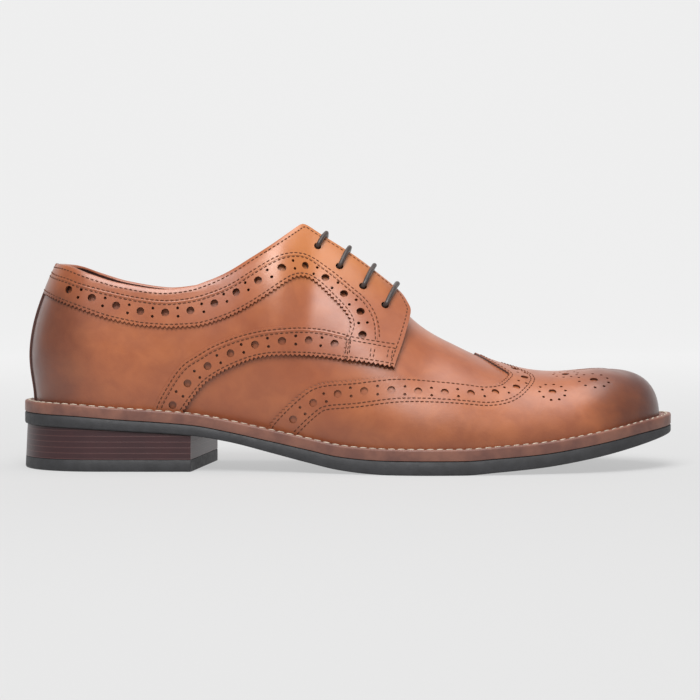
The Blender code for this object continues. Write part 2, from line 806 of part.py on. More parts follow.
def make_quarter(name, side, material):
    first = back_station()
    step = station_at(TAB_BACK) - 0.0015

    def low(at):
        strap = panel_gap(at, side, level_on(at, side, STRAP_TOP_LINE), 1)
        return max(welt_level(at, side), strap)

    def high(at):
        return panel_gap(at, side, level_on(at, side, BAND_LINE), -1)

    cells = strip_cells(strap_stations(first, step), side, low, high, 4)
    return sheet(name, material, cells, PANEL_CLEAR, PANEL_CLEAR + PANEL_THICK, facing_lift)


def make_strap(name, side, material):
    """Curved strip from the sole up to the tab."""
    first = station_at(STRAP_TOP[0].along + 0.010)
    step = station_at(TAB_BACK) - 0.0015

    def low(at):
        return max(welt_level(at, side), level_on(at, side, STRAP_FOOT_LINE))

    def high(at):
        return max(panel_gap(at, side, level_on(at, side, STRAP_TOP_LINE), -0.2), low(at) + 0.012)

    cells = strip_cells(strap_stations(first, step), side, low, high, 2)
    return sheet(name, material, cells, PANEL_CLEAR, PANEL_CLEAR + FACING_THICK, facing_lift)


def slab(name, material, levels, last_lateral=1.0, last_medial=1.0):
    """A plate that follows the sole's plan. levels: (inset, height), bottom to top."""
    shell = Shell()
    share = [at / 1.0 for at in STATIONS]
    if last_lateral < 1:
        share = [at / last_lateral for at in STATIONS if at < last_lateral - 0.004] + [1.0]
    count = len(share)

    def ends(i, level):
        inset, height = levels[level]
        left = sole_point(share[i] * last_lateral, LATERAL, inset, height)
        right = sole_point(share[i] * last_medial, MEDIAL, inset, height)
        return left, right

    def across(i, level, j):
        left, right = ends(i, level)
        point = left.lerp(right, j / ACROSS_STEPS)
        if 0 < j < ACROSS_STEPS:
            point.z = levels[level][1](point.x)
        return point

    for level in (0, len(levels) - 1):
        for i in range(count - 1):
            for j in range(ACROSS_STEPS):
                shell.face([across(i, level, j), across(i + 1, level, j),
                            across(i + 1, level, j + 1), across(i, level, j + 1)])
    for low in range(len(levels) - 1):
        for i in range(count - 1):
            for j in (0, ACROSS_STEPS):
                shell.face([across(i, low, j), across(i + 1, low, j),
                            across(i + 1, low + 1, j), across(i, low + 1, j)])
        if last_lateral < 1:
            for j in range(ACROSS_STEPS):
                shell.face([across(count - 1, low, j), across(count - 1, low, j + 1),
                            across(count - 1, low + 1, j + 1), across(count - 1, low + 1, j)])
    return shell.finish(name, material)


def make_outsole(material):
    levels = [
        (OUTSOLE_EDGE_ROUND, underside),
        (0.0, lambda x: underside(x) + OUTSOLE_EDGE_ROUND),
        (0.0, lambda x: seat(x) - OUTSOLE_EDGE_ROUND / 2),
        (OUTSOLE_EDGE_ROUND / 2, seat),
    ]
    return slab("outsole", material, levels)


def make_insole(material):
    wall_lean = 0.0009
    inset = FEATHER_INSET + UPPER_WALL + CLEAR + wall_lean / 3
    levels = [
        (inset, lambda x: seat(x) + CLEAR),
        (inset - wall_lean / 4, lambda x: seat(x) + CLEAR + INSOLE_THICK),
    ]
    return slab("insole", material, levels)


def breast_stations():
    return station_at(0.5 + (HEEL_BREAST_LATERAL - SHOE_LENGTH / 2) / SHOE_LENGTH), \
        station_at(0.5 + (HEEL_BREAST_MEDIAL - SHOE_LENGTH / 2) / SHOE_LENGTH)


def make_heel_stack(material):
    lateral, medial = breast_stations()
    levels = [
        (HEEL_INSET - HEEL_FLARE * 0.75, lambda x: TOP_LIFT_THICK + LAYER_CLEAR),
        (HEEL_INSET, lambda x: underside(x) - LAYER_CLEAR),
    ]
    return slab("heel_stack", material, levels, lateral, medial)


def make_top_lift(material):
    lateral, medial = breast_stations()
    round_off = 0.0008
    levels = [
        (HEEL_INSET - HEEL_FLARE + round_off, lambda x: 0.0),
        (HEEL_INSET - HEEL_FLARE, lambda x: round_off),
        (HEEL_INSET - HEEL_FLARE * 0.75, lambda x: TOP_LIFT_THICK),
    ]
    return slab("top_lift", material, levels, lateral, medial)


def make_welt(material):
    """Ring of leather round the upper's foot, all the way round the shoe."""
    shell = Shell()

    def ring(at, side):
        edge = 0.0004
        top_v = welt_level(at, side)
        x, y, dx, dy = spine(at, side)
        foot_reach = wall(at, side, 0)[0] + CLEAR
        top_reach = max(wall(at, side, top_v)[0] + CLEAR, foot_reach)
        full = sole_reach(at, side)
        corners = [(foot_reach, CLEAR), (full - edge, CLEAR), (full, CLEAR + edge),
                   (full, CLEAR + WELT_THICK - 2 * edge), (full - 2 * edge, CLEAR + WELT_THICK),
                   (top_reach, CLEAR + WELT_THICK)]
        points = []
        for reach, height in corners:
            px = x + dx * reach
            points.append(Vector((px, y + dy * reach, seat(px) + height)))
        return points

    for side in (LATERAL, MEDIAL):
        rings = [ring(at, side) for at in STATIONS]
        for a, b in zip(rings, rings[1:]):
            for k in range(len(a)):
                nxt = (k + 1) % len(a)
                shell.face([a[k], b[k], b[nxt], a[nxt]])
    return shell.finish("welt", material)


def eyelet_places(side):
    """Station and v of each eyelet, from the top one down to the throat."""
    places = []
    for pair in range(EYELET_PAIRS):
        back = x_of(FACING_TOP_CORNER) + TOP_EYELET_FROM_CORNER + pair * EYELET_SPACING
        at = station_at(along_of(back))
        v = facing_edge(at, side)
        walked = 0.0
        here = base_point(at, side, v)
        while walked < EYELET_FROM_EDGE:
            v -= 0.002
            there = base_point(at, side, v)
            walked += (there - here).length
            here = there
        places.append((at, side, v))
    return places


def facing_point(place, offset):
    at, side, v = place
    return surface(at, side, v, offset + facing_lift(at, side, v))


def bore_eyelets(panel, side):
    """Cut the lace holes through the facing."""
    cutter = bmesh.new()
    for place in eyelet_places(side):
        low = facing_point(place, -0.0015)
        high = facing_point(place, PANEL_CLEAR + FACING_THICK + 0.003)
        axis = (high - low)
        turn = Vector((0, 0, 1)).rotation_difference(axis.normalized()).to_matrix().to_4x4()
        turn.translation = (low + high) / 2
        bmesh.ops.create_cone(cutter, cap_ends=True, segments=EYELET_SIDES, radius1=EYELET_BORE / 2,
                              radius2=EYELET_BORE / 2, depth=axis.length, matrix=turn)
    data = bpy.data.meshes.new(panel.name + "_bores")
    cutter.to_mesh(data)
    cutter.free()
    thing = bpy.data.objects.new(panel.name + "_bores", data)
    bpy.context.scene.collection.objects.link(thing)
    thing.hide_render = True
    thing.display_type = "WIRE"
    cut = panel.modifiers.new("eyelets", "BOOLEAN")
    cut.operation = "DIFFERENCE"
    cut.object = thing


def lace_over_facing(hole, over):
    """Points from above an eyelet to above the facing's free edge."""
    at, side, v = hole
    edge = facing_edge(at, side) + 0.01
    points = []
    for share, extra in ((0.0, 0.0), (0.25, 0.10), (0.6, 0.12), (1.0, 0.05)):
        place = (at, side, v + (edge - v) * share)
        points.append(facing_point(place, over + LACE_DIAMETER * extra))
    return points


def lace_path():
    """Up through an eyelet, across, down, and under the facing to the next pair."""
    half = LACE_DIAMETER / 2
    over = PANEL_CLEAR + FACING_THICK + CLEAR + half
    under = PANEL_CLEAR - CLEAR - half
    holes = {side: eyelet_places(side) for side in (LATERAL, MEDIAL)}
    path = []
    side = LATERAL
    for pair in range(EYELET_PAIRS):
        near, far = holes[side][pair], holes[-side][pair]
        start = facing_point(near, under)
        end = facing_point(far, under)
        climb = lace_over_facing(near, over)
        descent = lace_over_facing(far, over)[::-1]
        path += [start] + climb
        path.append(climb[-1].lerp(descent[0], 0.5) + Vector((0, 0, LACE_DIAMETER * 0.15)))
        path += descent + [end]
        side = -side
    return path


def make_laces(material):
    """One lace in straight bars across the throat."""
    points = lace_path()
    shell = Shell()
    rings = []
    normal = None
    for i, point in enumerate(points):
        before = points[i - 1] if i else None
        after = points[i + 1] if i + 1 < len(points) else None
        into = (point - before).normalized() if before else (after - point).normalized()
        out = (after - point).normalized() if after else into
        tangent = (into + out).normalized()
        if normal is None:
            normal = tangent.orthogonal().normalized()
        normal = (normal - tangent * normal.dot(tangent)).normalized()
        binormal = tangent.cross(normal)
        widen = min(1 / max(tangent.dot(out), 0.75), 1.3)
        ring = []
        for k in range(LACE_SIDES):
            angle = 2 * math.pi * k / LACE_SIDES
            ring.append(point + (normal * math.cos(angle) + binormal * math.sin(angle)) * LACE_DIAMETER / 2)
        rings.append(ring)
    for a, b in zip(rings, rings[1:]):
        for k in range(LACE_SIDES):
            nxt = (k + 1) % LACE_SIDES
            shell.face([a[k], b[k], b[nxt], a[nxt]])
    for ring, centre in ((rings[0], points[0]), (rings[-1], points[-1])):
        for k in range(LACE_SIDES):
            shell.face([ring[k], ring[(k + 1) % LACE_SIDES], centre])
    return shell.finish("laces", material)


def make_material(name, colour, roughness, metallic=0.0):
    material = bpy.data.materials.new(name)
    material.use_nodes = True
    shader = material.node_tree.nodes["Principled BSDF"]
    shader.inputs["Base Color"].default_value = (*colour, 1.0)
    shader.inputs["Roughness"].default_value = roughness
    shader.inputs["Metallic"].default_value = metallic
    material.diffuse_color = (*colour, 1.0)
    return material


def main():
    clear_scene()
    tan = make_material("tan_leather", (0.36, 0.13, 0.05), 0.42)
    brown = make_material("brown_leather", (0.26, 0.09, 0.04), 0.40)
    rubber = make_material("grey_rubber", (0.045, 0.045, 0.048), 0.70)
    stack = make_material("burgundy_stack", (0.10, 0.025, 0.022), 0.50)
    lining = make_material("dark_lining", (0.08, 0.04, 0.025), 0.80)
    cord = make_material("dark_cord", (0.035, 0.027, 0.023), 0.65)
    welt_leather = make_material("welt_leather", (0.20, 0.085, 0.04), 0.55)
    make_outsole(rubber)
    make_top_lift(rubber)
    make_heel_stack(stack)
    make_welt(welt_leather)
    make_insole(lining)
    make_upper(tan)
    make_tongue(brown)
    make_wing_cap(brown)
    make_back_strip(brown)
    for side, word in ((LATERAL, "lateral"), (MEDIAL, "medial")):
        band = make_collar_band("collar_band_" + word, side, tan)
        bore_eyelets(band, side)
        make_quarter("quarter_" + word, side, tan)
        make_strap("strap_" + word, side, tan)
    make_laces(cord)


main()
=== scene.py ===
"""Brogue shoe for the right foot, dressed: leather panels, punching, stitching and sole.

Metres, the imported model's frame: toe along +X, the foot's inner side along +Y.
The last (the shoe's form) is one function of two numbers: t runs round the shoe from
the toe's tip (-1) along the outer side to the heel's back (0) and along the inner side
to the toe's tip again (1), and v runs up the wall from its foot (0) to its top (1).
"""
import math

import bmesh
import bpy
import numpy as np
from mathutils import Matrix, Vector, geometry


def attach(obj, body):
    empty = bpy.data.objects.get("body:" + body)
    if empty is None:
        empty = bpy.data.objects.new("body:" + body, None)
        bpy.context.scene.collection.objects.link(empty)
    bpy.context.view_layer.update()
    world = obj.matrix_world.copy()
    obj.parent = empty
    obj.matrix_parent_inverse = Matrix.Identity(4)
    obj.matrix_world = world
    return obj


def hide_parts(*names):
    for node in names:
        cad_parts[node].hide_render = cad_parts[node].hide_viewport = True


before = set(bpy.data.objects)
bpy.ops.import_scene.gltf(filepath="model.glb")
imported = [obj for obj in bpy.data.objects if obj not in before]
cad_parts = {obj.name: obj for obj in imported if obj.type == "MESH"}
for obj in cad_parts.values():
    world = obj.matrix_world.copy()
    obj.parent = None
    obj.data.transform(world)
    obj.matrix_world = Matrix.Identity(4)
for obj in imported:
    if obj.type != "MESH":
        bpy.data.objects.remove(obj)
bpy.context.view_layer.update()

# Overall sizes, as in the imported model.
SHOE_LENGTH = 0.305
BALL_WIDTH = 0.109
INSTEP_HEIGHT = 0.100
HEEL_HEIGHT = 0.0207
TOE_SPRING = 0.0162
OUTSOLE_THICK = 0.0063
WELT_THICK = 0.0050
WELT_SHOW = 0.0047
TOP_LIFT_THICK = 0.0054
HEEL_INSET = 0.0012
HEEL_FLARE = 0.0010
HEEL_BREAST_LATERAL = 0.080
HEEL_BREAST_MEDIAL = 0.089
INSOLE_THICK = 0.0026
UPPER_WALL = 0.0020
THROAT_HALF_WIDTH = 0.009
VAMP_THROAT_HALF_WIDTH = 0.022
FACING_LIFT = 0.0062
TONGUE_THICK = 0.0022
TONGUE_HALF_WIDTH = 0.026
TONGUE_DROP = 0.0026
EYELET_BORE = 0.0036
LACE_DIAMETER = 0.0022
CLEAR = 0.0003
PANEL_CLEAR = 0.00045
PANEL_THICK = 0.0013
FACING_THICK = 0.0021
FEATHER_INSET = WELT_SHOW + PANEL_CLEAR + PANEL_THICK

# Heights of the leathers' outer faces above the last.
PANEL_UNDER = -0.0003
QUARTER_FACE = 0.0013
CAP_FACE = 0.0010
BAND_FACE = 0.0024
STRAP_FACE = 0.0017
RIM_FACE = 0.0012
RIM_TAPER = 0.045
RIM_DROP = 0.0011
BACK_FACE = 0.0024

HEEL_ROUND = 0.037
TOE_ROUND = 0.0500
HEEL_SQUARENESS = 2.1
TOE_SQUARENESS = 2.2
HEEL_CENTRE = 0.036
TOE_CENTRE = 0.0305
HEEL_TURN = 0.206
HEEL_BLEND = 0.10
TOE_TURN = 0.198
TOE_BLEND = 0.12

# Plan of the sole: along, lateral, medial, bend.
PLAN = [
    (0.00, 0.321, 0.317, 0.009), (0.12, 0.321, 0.314, 0.009), (0.21, 0.321, 0.302, 0.005),
    (0.30, 0.318, 0.284, 0.000), (0.40, 0.352, 0.280, -0.004), (0.50, 0.431, 0.330, 0.000),
    (0.60, 0.514, 0.440, 0.014), (0.66, 0.519, 0.477, 0.023), (0.76, 0.491, 0.440, 0.037),
    (0.83, 0.452, 0.405, 0.043), (0.90, 0.402, 0.368, 0.045), (1.00, 0.330, 0.315, 0.045),
]
# Side view of the sole: along, heel, toe, thick.
RISE = [
    (0.000, 1.000, 0.000, 0.86), (0.075, 0.970, 0.000, 0.86), (0.146, 0.913, 0.000, 0.80),
    (0.264, 0.800, 0.000, 0.75), (0.320, 0.667, 0.000, 0.70), (0.380, 0.450, 0.000, 0.80),
    (0.440, 0.230, 0.000, 0.91), (0.485, 0.087, 0.000, 0.94), (0.525, 0.022, 0.000, 0.98),
    (0.560, 0.000, 0.000, 1.00), (0.670, 0.000, 0.000, 1.00), (0.722, 0.000, 0.070, 0.98),
    (0.792, 0.000, 0.190, 0.94), (0.863, 0.000, 0.406, 0.92), (0.937, 0.000, 0.700, 0.84),
    (1.000, 0.000, 1.000, 0.56),
]
# Sections of the last: at, top reach, top height, top pitch, top pull,
# lateral lean and pull, medial lean and pull.
SECTIONS = [
    (0.00, 0.138, 0.860, 60, 0.30, 8, 0.35, 8, 0.35),
    (0.10, 0.172, 0.845, 66, 0.32, 10, 0.35, 9, 0.35),
    (0.20, 0.198, 0.846, 74, 0.34, 12, 0.36, 10, 0.36),
    (0.30, 0.165, 0.925, 70, 0.36, 12, 0.38, 12, 0.38),
    (0.35, 0.110, 1.010, 58, 0.42, 12, 0.39, 15, 0.41),
    (0.40, 0.040, 1.066, 28, 0.52, 13, 0.40, 18, 0.44),
    (0.45, 0.000, 1.026, 0, 0.60, 13, 0.41, 20, 0.46),
    (0.50, 0.000, 0.927, 0, 0.60, 13, 0.42, 20, 0.47),
    (0.55, 0.000, 0.768, 0, 0.56, 13, 0.44, 17, 0.47),
    (0.60, 0.000, 0.601, 0, 0.54, 12, 0.47, 13, 0.48),
    (0.65, 0.000, 0.505, 0, 0.54, 12, 0.52, 11, 0.53),
    (0.70, 0.000, 0.420, 0, 0.56, 11, 0.57, 9, 0.58),
    (0.75, 0.000, 0.361, 0, 0.58, 10, 0.61, 8, 0.63),
    (0.80, 0.000, 0.329, 0, 0.62, 8, 0.65, 7, 0.67),
    (0.85, 0.000, 0.316, 0, 0.65, 6, 0.68, 6, 0.70),
    (0.90, 0.000, 0.302, 0, 0.68, 4, 0.72, 4, 0.73),
    (1.00, 0.000, 0.302, 0, 0.70, 3, 0.75, 3, 0.75),
]

# Lines across the upper: along, height above the seat.
COLLAR_RIM = [
    (0.030, 0.700), (0.067, 0.698), (0.110, 0.664), (0.155, 0.634), (0.215, 0.618),
    (0.261, 0.642), (0.291, 0.686), (0.321, 0.746), (0.351, 0.819), (0.382, 0.898),
    (0.411, 0.982), (0.428, 1.030),
]
BAND_EDGE = [
    (0.030, 0.556), (0.085, 0.499), (0.144, 0.452),
    (0.199, 0.433), (0.248, 0.443), (0.299, 0.499),
    (0.351, 0.614), (0.392, 0.721), (0.416, 0.774),
    (0.432, 0.776), (0.454, 0.745), (0.489, 0.674),
    (0.506, 0.630),
]
TAB_FOOT = [(0.493, 0.441), (0.523, 0.431), (0.600, 0.418)]
STRAP_TOP = [
    (0.205, 0.020), (0.229, 0.141), (0.250, 0.237),
    (0.269, 0.307), (0.301, 0.375), (0.335, 0.446),
    (0.370, 0.495), (0.411, 0.534), (0.454, 0.553),
    (0.506, 0.554),
]
STRAP_FOOT = [
    (0.240, -0.030), (0.251, 0.055), (0.266, 0.119),
    (0.295, 0.225), (0.328, 0.310), (0.370, 0.376),
    (0.404, 0.409), (0.438, 0.431), (0.506, 0.449),
]
WING_EDGE = [
    (0.375, 0.020), (0.382, 0.080), (0.396, 0.138), (0.419, 0.221), (0.446, 0.298),
    (0.469, 0.332), (0.500, 0.352), (0.569, 0.380), (0.636, 0.360), (0.680, 0.342),
    (0.705, 0.325), (0.724, 0.322), (0.735, 0.338), (0.746, 0.358),
]
WING_PEAK = [(0.695, 0.000), (0.718, 0.095), (0.735, 0.147), (0.746, 0.170)]

LACE_LEAN = 0.0085
MIDDLE_DOTS = 5
MIDDLE_DOTS_START = 0.114
MIDDLE_DOTS_PITCH = 0.0052

# The photograph's camera. Its picture is PHOTO_WIDTH pixels wide and high.
CAMERA_PLACE = (0.0007, -1.175, 0.102)
CAMERA_PITCH = math.radians(2.307)
CAMERA_LENS = 128.2
CAMERA_SENSOR = 36
PHOTO_WIDTH = 700

# Places read in the photograph, in its pixels from the left and the top.
BAND_EDGE_SEEN = [
    (164, 328.5), (187, 327.5), (204, 325.5), (230, 316.5), (250, 306), (270, 293.5),
    (283.5, 284.5), (297, 277), (309, 278), (319.5, 285.5), (330.5, 296.5), (341, 307),
    (349, 318), (350.5, 326), (346.5, 335.5), (344, 347), (343, 360),
]
BAND_SEAM_SEEN = [
    (66, 280), (81, 286), (112, 294), (138, 299.5), (164, 302.5), (188.5, 300.5), (208, 295.5),
    (230, 286.5), (250, 274), (270, 262), (283.5, 256), (297, 254.5), (310, 258), (330.5, 272),
    (350.5, 288.5), (364, 300), (372.5, 312.5), (376.5, 324.5), (377.5, 340),
]
BAND_HOLES_SEEN = [
    (68.5, 289.5), (89.5, 297), (112.5, 304.5), (136.5, 310.5), (161.5, 312.5), (187, 311),
    (211.5, 304.5), (256.5, 281), (279, 268.5), (302.5, 264.5), (325.5, 277.5), (344.5, 294),
    (361.5, 313), (362.5, 334.5),
]
BAND_HOLES = 15
TAB_FOOT_SEEN = [(343, 360), (364, 362.5), (394, 367.5)]
NOSE_SEEN = [(410.5, 310), (410, 316.5), (406.5, 330), (402, 344.5), (398.5, 354), (394, 367.5)]
TAB_SEAMS_SEEN = [
    [(345, 335.5), (370, 340), (398, 344.5)], [(347, 339.5), (370, 343.5), (396.5, 348.5)],
    [(347, 339.5), (345, 356)], [(350.5, 340), (349, 356)],
    [(371, 347.5), (370, 357.5)], [(375, 348), (373, 358)],
    [(388.5, 348.5), (386.5, 360.5)], [(392.5, 349.5), (391, 361.5)],
]
STRAP_TOP_SEEN = [
    (152, 416), (154, 409.5), (157, 401), (165.5, 385.5), (175, 371), (184, 361.5), (196, 354),
    (210, 345.5), (230, 337), (250, 331), (270, 327.5), (297, 325.5), (317, 326.5), (330.5, 328.5),
    (350.5, 333.5),
]
STRAP_FOOT_SEEN = [
    (179, 420), (182.5, 413.5), (191.5, 400.5), (203.5, 385.5), (216, 376), (230, 368.5),
    (250, 360.5), (270, 356.5), (297, 356), (323.5, 357.5), (341, 360),
]
STRAP_HOLES_SEEN = [
    (172.5, 405), (186.5, 384.5), (207, 366.5), (230, 353.5), (255.5, 344.5), (281.5, 341),
    (307, 340), (334.5, 343.5),
]
STRAP_HOLES = 8
WING_HOLES_SEEN = [
    (293, 419.5), (312, 403.5), (337.5, 394), (364.5, 391), (391, 390), (417.5, 391),
    (443.5, 392), (469, 393), (495, 392), (517, 386.5), (524.5, 376), (514.5, 368.5),
]
WING_HOLES = 12
LACE_HOLES_SEEN = [(317.5, 246), (339.5, 266), (363, 286), (385, 305)]
ROSETTE_SEEN = [(552.5, 391.5), (565.5, 374), (594, 379.5)]
ROSETTE_RINGS = (0.0124, 0.0116, 0.0140)
# The facing's corner above the nose: along, reach from the spine.
NOSE_CORNER = [(0.564, 0.0091), (0.571, 0.0115), (0.5775, 0.0160)]

TAB_BACK = 0.506
FACING_FRONT_TOP = 0.597
FACING_FRONT_FOOT = 0.569
FACING_CORNER_ROUND = 0.020
FACING_TOP_CORNER = 0.432
VAMP_THROAT = 0.568
VAMP_THROAT_ROUND = 0.075
TONGUE_TOP = 0.434
TONGUE_FOOT = 0.612
LIFT_START = 0.455
LIFT_SPREAD = 0.30

# Punching, gimping and stitching.
BIG_PUNCH = 0.0037
SMALL_PUNCH = 0.0014
SMALL_PAIR = 0.0019
EDGE_FLARE = 0.00038
GIMP_PITCH = 0.0021
GIMP_DEPTH = 0.0010
STITCH_PITCH = 0.0023
STITCH_LENGTH = 0.0018
STITCH_WIDTH = 0.00062

LATERAL = -1
MEDIAL = 1


# Curves through the tables' rows.

def steady_curve(points):
    """A curve through the points that never overshoots them."""
    xs, ys = (np.array(row, float) for row in zip(*points))
    steps = np.diff(xs)
    slopes = np.diff(ys) / steps
    tangents = np.zeros(len(xs))
    tangents[0], tangents[-1] = slopes[0], slopes[-1]
    for i in range(1, len(xs) - 1):
        if slopes[i - 1] * slopes[i] > 0:
            w1 = 2 * steps[i] + steps[i - 1]
            w2 = steps[i] + 2 * steps[i - 1]
            tangents[i] = (w1 + w2) / (w1 / slopes[i - 1] + w2 / slopes[i])
    return hermite(xs, ys, tangents, True)


def smooth_curve(points):
    """A curve through the points with even curvature, level at both ends."""
    xs, ys = (np.array(row, float) for row in zip(*points))
    n = len(xs)
    h = np.diff(xs)
    matrix = np.eye(n)
    right = np.zeros(n)
    for i in range(1, n - 1):
        matrix[i, i - 1] = 1 / h[i - 1]
        matrix[i, i] = 2 / h[i - 1] + 2 / h[i]
        matrix[i, i + 1] = 1 / h[i]
        right[i] = 3 * ((ys[i] - ys[i - 1]) / h[i - 1]**2 + (ys[i + 1] - ys[i]) / h[i]**2)
    return hermite(xs, ys, np.linalg.solve(matrix, right), False)


def hermite(xs, ys, tangents, runs_on):
    def value(x):
        x = np.asarray(x, float)
        inside = np.clip(x, xs[0], xs[-1])
        i = np.clip(np.searchsorted(xs, inside) - 1, 0, len(xs) - 2)
        h = xs[i + 1] - xs[i]
        t = (inside - xs[i]) / h
        result = ((2 * t**3 - 3 * t**2 + 1) * ys[i] + (t**3 - 2 * t**2 + t) * h * tangents[i]
                  + (3 * t**2 - 2 * t**3) * ys[i + 1] + (t**3 - t**2) * h * tangents[i + 1])
        if runs_on:
            result = result + np.where(x < xs[0], (x - xs[0]) * tangents[0], 0)
            result = result + np.where(x > xs[-1], (x - xs[-1]) * tangents[-1], 0)
        return result

    return value


def pick(rows, first, second, kind):
    return kind([(row[first], row[second]) for row in rows])


def along_of(x):
    return x / SHOE_LENGTH + 0.5


HALF_WIDTHS = {LATERAL: pick(PLAN, 0, 1, smooth_curve), MEDIAL: pick(PLAN, 0, 2, smooth_curve)}
BEND = pick(PLAN, 0, 3, smooth_curve)
HEEL_RISE = pick(RISE, 0, 1, steady_curve)
TOE_RISE = pick(RISE, 0, 2, steady_curve)
THICKNESS = pick(RISE, 0, 3, steady_curve)
SECTION = [None] + [pick(SECTIONS, 0, k, smooth_curve) for k in range(1, 9)]
RIM_LINE = steady_curve(COLLAR_RIM)
BAND_LINE = steady_curve(BAND_EDGE)
TAB_LINE = steady_curve(TAB_FOOT)
STRAP_TOP_LINE = steady_curve(STRAP_TOP)
STRAP_FOOT_LINE = steady_curve(STRAP_FOOT)
WING_LINE = steady_curve(WING_EDGE)
PEAK_LINE = steady_curve(WING_PEAK)


def underside(x):
    along = along_of(x)
    return (np.maximum(HEEL_RISE(along), 0) * HEEL_HEIGHT
            + np.maximum(TOE_RISE(along), 0) * TOE_SPRING)


def seat(x):
    return underside(x) + THICKNESS(along_of(x)) * OUTSOLE_THICK


def welt_top(x):
    return seat(x) + CLEAR + WELT_THICK


def half_width(x, side):
    width = HALF_WIDTHS[side](along_of(x)) * BALL_WIDTH
    into_toe = np.clip((x - (SHOE_LENGTH / 2 - TOE_ROUND)) / TOE_ROUND, 0, 1)
    into_heel = np.clip((HEEL_ROUND - SHOE_LENGTH / 2 - x) / HEEL_ROUND, 0, 1)
    width = width * np.maximum(1 - into_toe**TOE_SQUARENESS, 0)**(1 / TOE_SQUARENESS)
    return width * np.maximum(1 - into_heel**HEEL_SQUARENESS, 0)**(1 / HEEL_SQUARENESS)


# The last, sampled once round the shoe.

def eased(t):
    t = np.asarray(t, float)
    bent = np.clip(t, 0, 1)
    return np.where(t >= 1, t - 0.5, bent**3 - bent**4 / 2)


def turned(at):
    heel = HEEL_BLEND * eased((HEEL_TURN - at) / HEEL_BLEND)
    toe = TOE_BLEND * eased((at - 1 + TOE_TURN) / TOE_BLEND)
    return heel, toe


def sample_side(at, side):
    """Spine, direction, sole reach and wall control points at these stations."""
    heel, toe = turned(at)
    heel_all = turned(np.array(0.0))[0]
    toe_all = turned(np.array(1.0))[1]
    travelled = (at + heel - heel_all - toe) / (1 - heel_all - toe_all)
    first = HEEL_CENTRE - SHOE_LENGTH / 2
    last = SHOE_LENGTH / 2 - TOE_CENTRE
    x = first + (last - first) * travelled
    y = BEND(along_of(x)) * BALL_WIDTH
    angle = math.pi / 2 * (1 - heel / heel_all + toe / toe_all)
    dx, dy = -np.cos(angle), side * np.sin(angle)
    low, high = np.zeros_like(at), np.full_like(at, BALL_WIDTH)
    for _ in range(40):
        middle = (low + high) / 2
        px, py = x + dx * middle, y + dy * middle
        off_spine = np.abs(py - BEND(along_of(px)) * BALL_WIDTH)
        inside = (np.abs(px) < SHOE_LENGTH / 2) & (off_spine < half_width(px, side))
        low = np.where(inside, middle, low)
        high = np.where(inside, high, middle)
    reach = low
    foot_reach = reach - FEATHER_INSET
    foot_height = seat(x + dx * foot_reach) + CLEAR
    top_reach = np.where(SECTION[1](at) < 0.002, 0, np.maximum(SECTION[1](at), 0) * BALL_WIDTH)
    top_height = seat(x) + SECTION[2](at) * INSTEP_HEIGHT
    pitch = np.radians(np.maximum(SECTION[3](at), 0))
    rise = top_height - foot_height
    pull = SECTION[4](at) * (np.cos(pitch) * (foot_reach - top_reach) + np.sin(pitch) * rise)
    lean = np.radians(SECTION[5 if side == LATERAL else 7](at))
    push = SECTION[6 if side == LATERAL else 8](at) * rise
    walls = np.stack([
        foot_reach, foot_height,
        foot_reach + push * np.sin(lean), foot_height + push * np.cos(lean),
        top_reach + pull * np.cos(pitch), top_height - pull * np.sin(pitch),
        top_reach, top_height], axis=1)
    return np.column_stack([x, y, dx, dy, reach, walls])


SAMPLES = 1600
ATS = np.linspace(0, 1, SAMPLES + 1)
TABLE = np.vstack([sample_side(ATS, LATERAL)[::-1], sample_side(ATS, MEDIAL)[1:]])
SOFTEN_OVER = 28


def softened(column):
    """Ease a wall column along the shoe, so that no kink shows in the gloss."""
    window = np.hanning(2 * SOFTEN_OVER + 3)[1:-1]
    ring = np.concatenate([column[-1 - SOFTEN_OVER:-1], column, column[1:1 + SOFTEN_OVER]])
    return np.convolve(ring, window / window.sum(), "valid")


for wall_column in range(7, 13):
    TABLE[:, wall_column] = softened(TABLE[:, wall_column])


def look_up(t):
    """The last's row at t, which runs on round the toe's tip."""
    place = (np.mod(np.asarray(t, float) + 1, 2)) * SAMPLES
    i = np.clip(place.astype(int), 0, 2 * SAMPLES - 1)
    part = (place - i)[..., None]
    return TABLE[i] * (1 - part) + TABLE[i + 1] * part


def wall_of(row, v):
    v = np.asarray(v, float)
    weights = ((1 - v)**3, 3 * v * (1 - v)**2, 3 * v**2 * (1 - v), v**3)
    reach = sum(w * row[..., 5 + 2 * k] for k, w in enumerate(weights))
    height = sum(w * row[..., 6 + 2 * k] for k, w in enumerate(weights))
    return reach, height


# The heel's back line: height, and shift towards the toe, in metres.
HEEL_LINE = [
    (0.030, 0.0009), (0.036, 0.0009), (0.044, 0.0000), (0.051, -0.0008), (0.062, -0.0008),
    (0.072, 0.0001), (0.081, 0.0014), (0.091, 0.0029), (0.098, 0.0043), (0.112, 0.0066),
]
HEEL_LINE_END = -0.100
HEEL_LINE_FULL = -0.146
heel_shift = smooth_curve(HEEL_LINE)
# Soft dents and swells of the worked leather: x, height, spread along, spread up, depth.
SWELLS = [
    (-0.096, 0.070, 0.010, 0.022, -0.0007), (-0.070, 0.058, 0.015, 0.016, 0.0006),
    (-0.040, 0.066, 0.010, 0.020, -0.0005), (-0.118, 0.052, 0.012, 0.018, 0.0005),
    (0.036, 0.044, 0.012, 0.010, -0.0005), (0.052, 0.040, 0.014, 0.012, 0.0005),
    (0.030, 0.060, 0.008, 0.012, 0.0004), (0.016, 0.036, 0.018, 0.008, -0.0004),
    (0.072, 0.036, 0.010, 0.010, -0.0004), (0.092, 0.034, 0.014, 0.010, 0.0004),
]


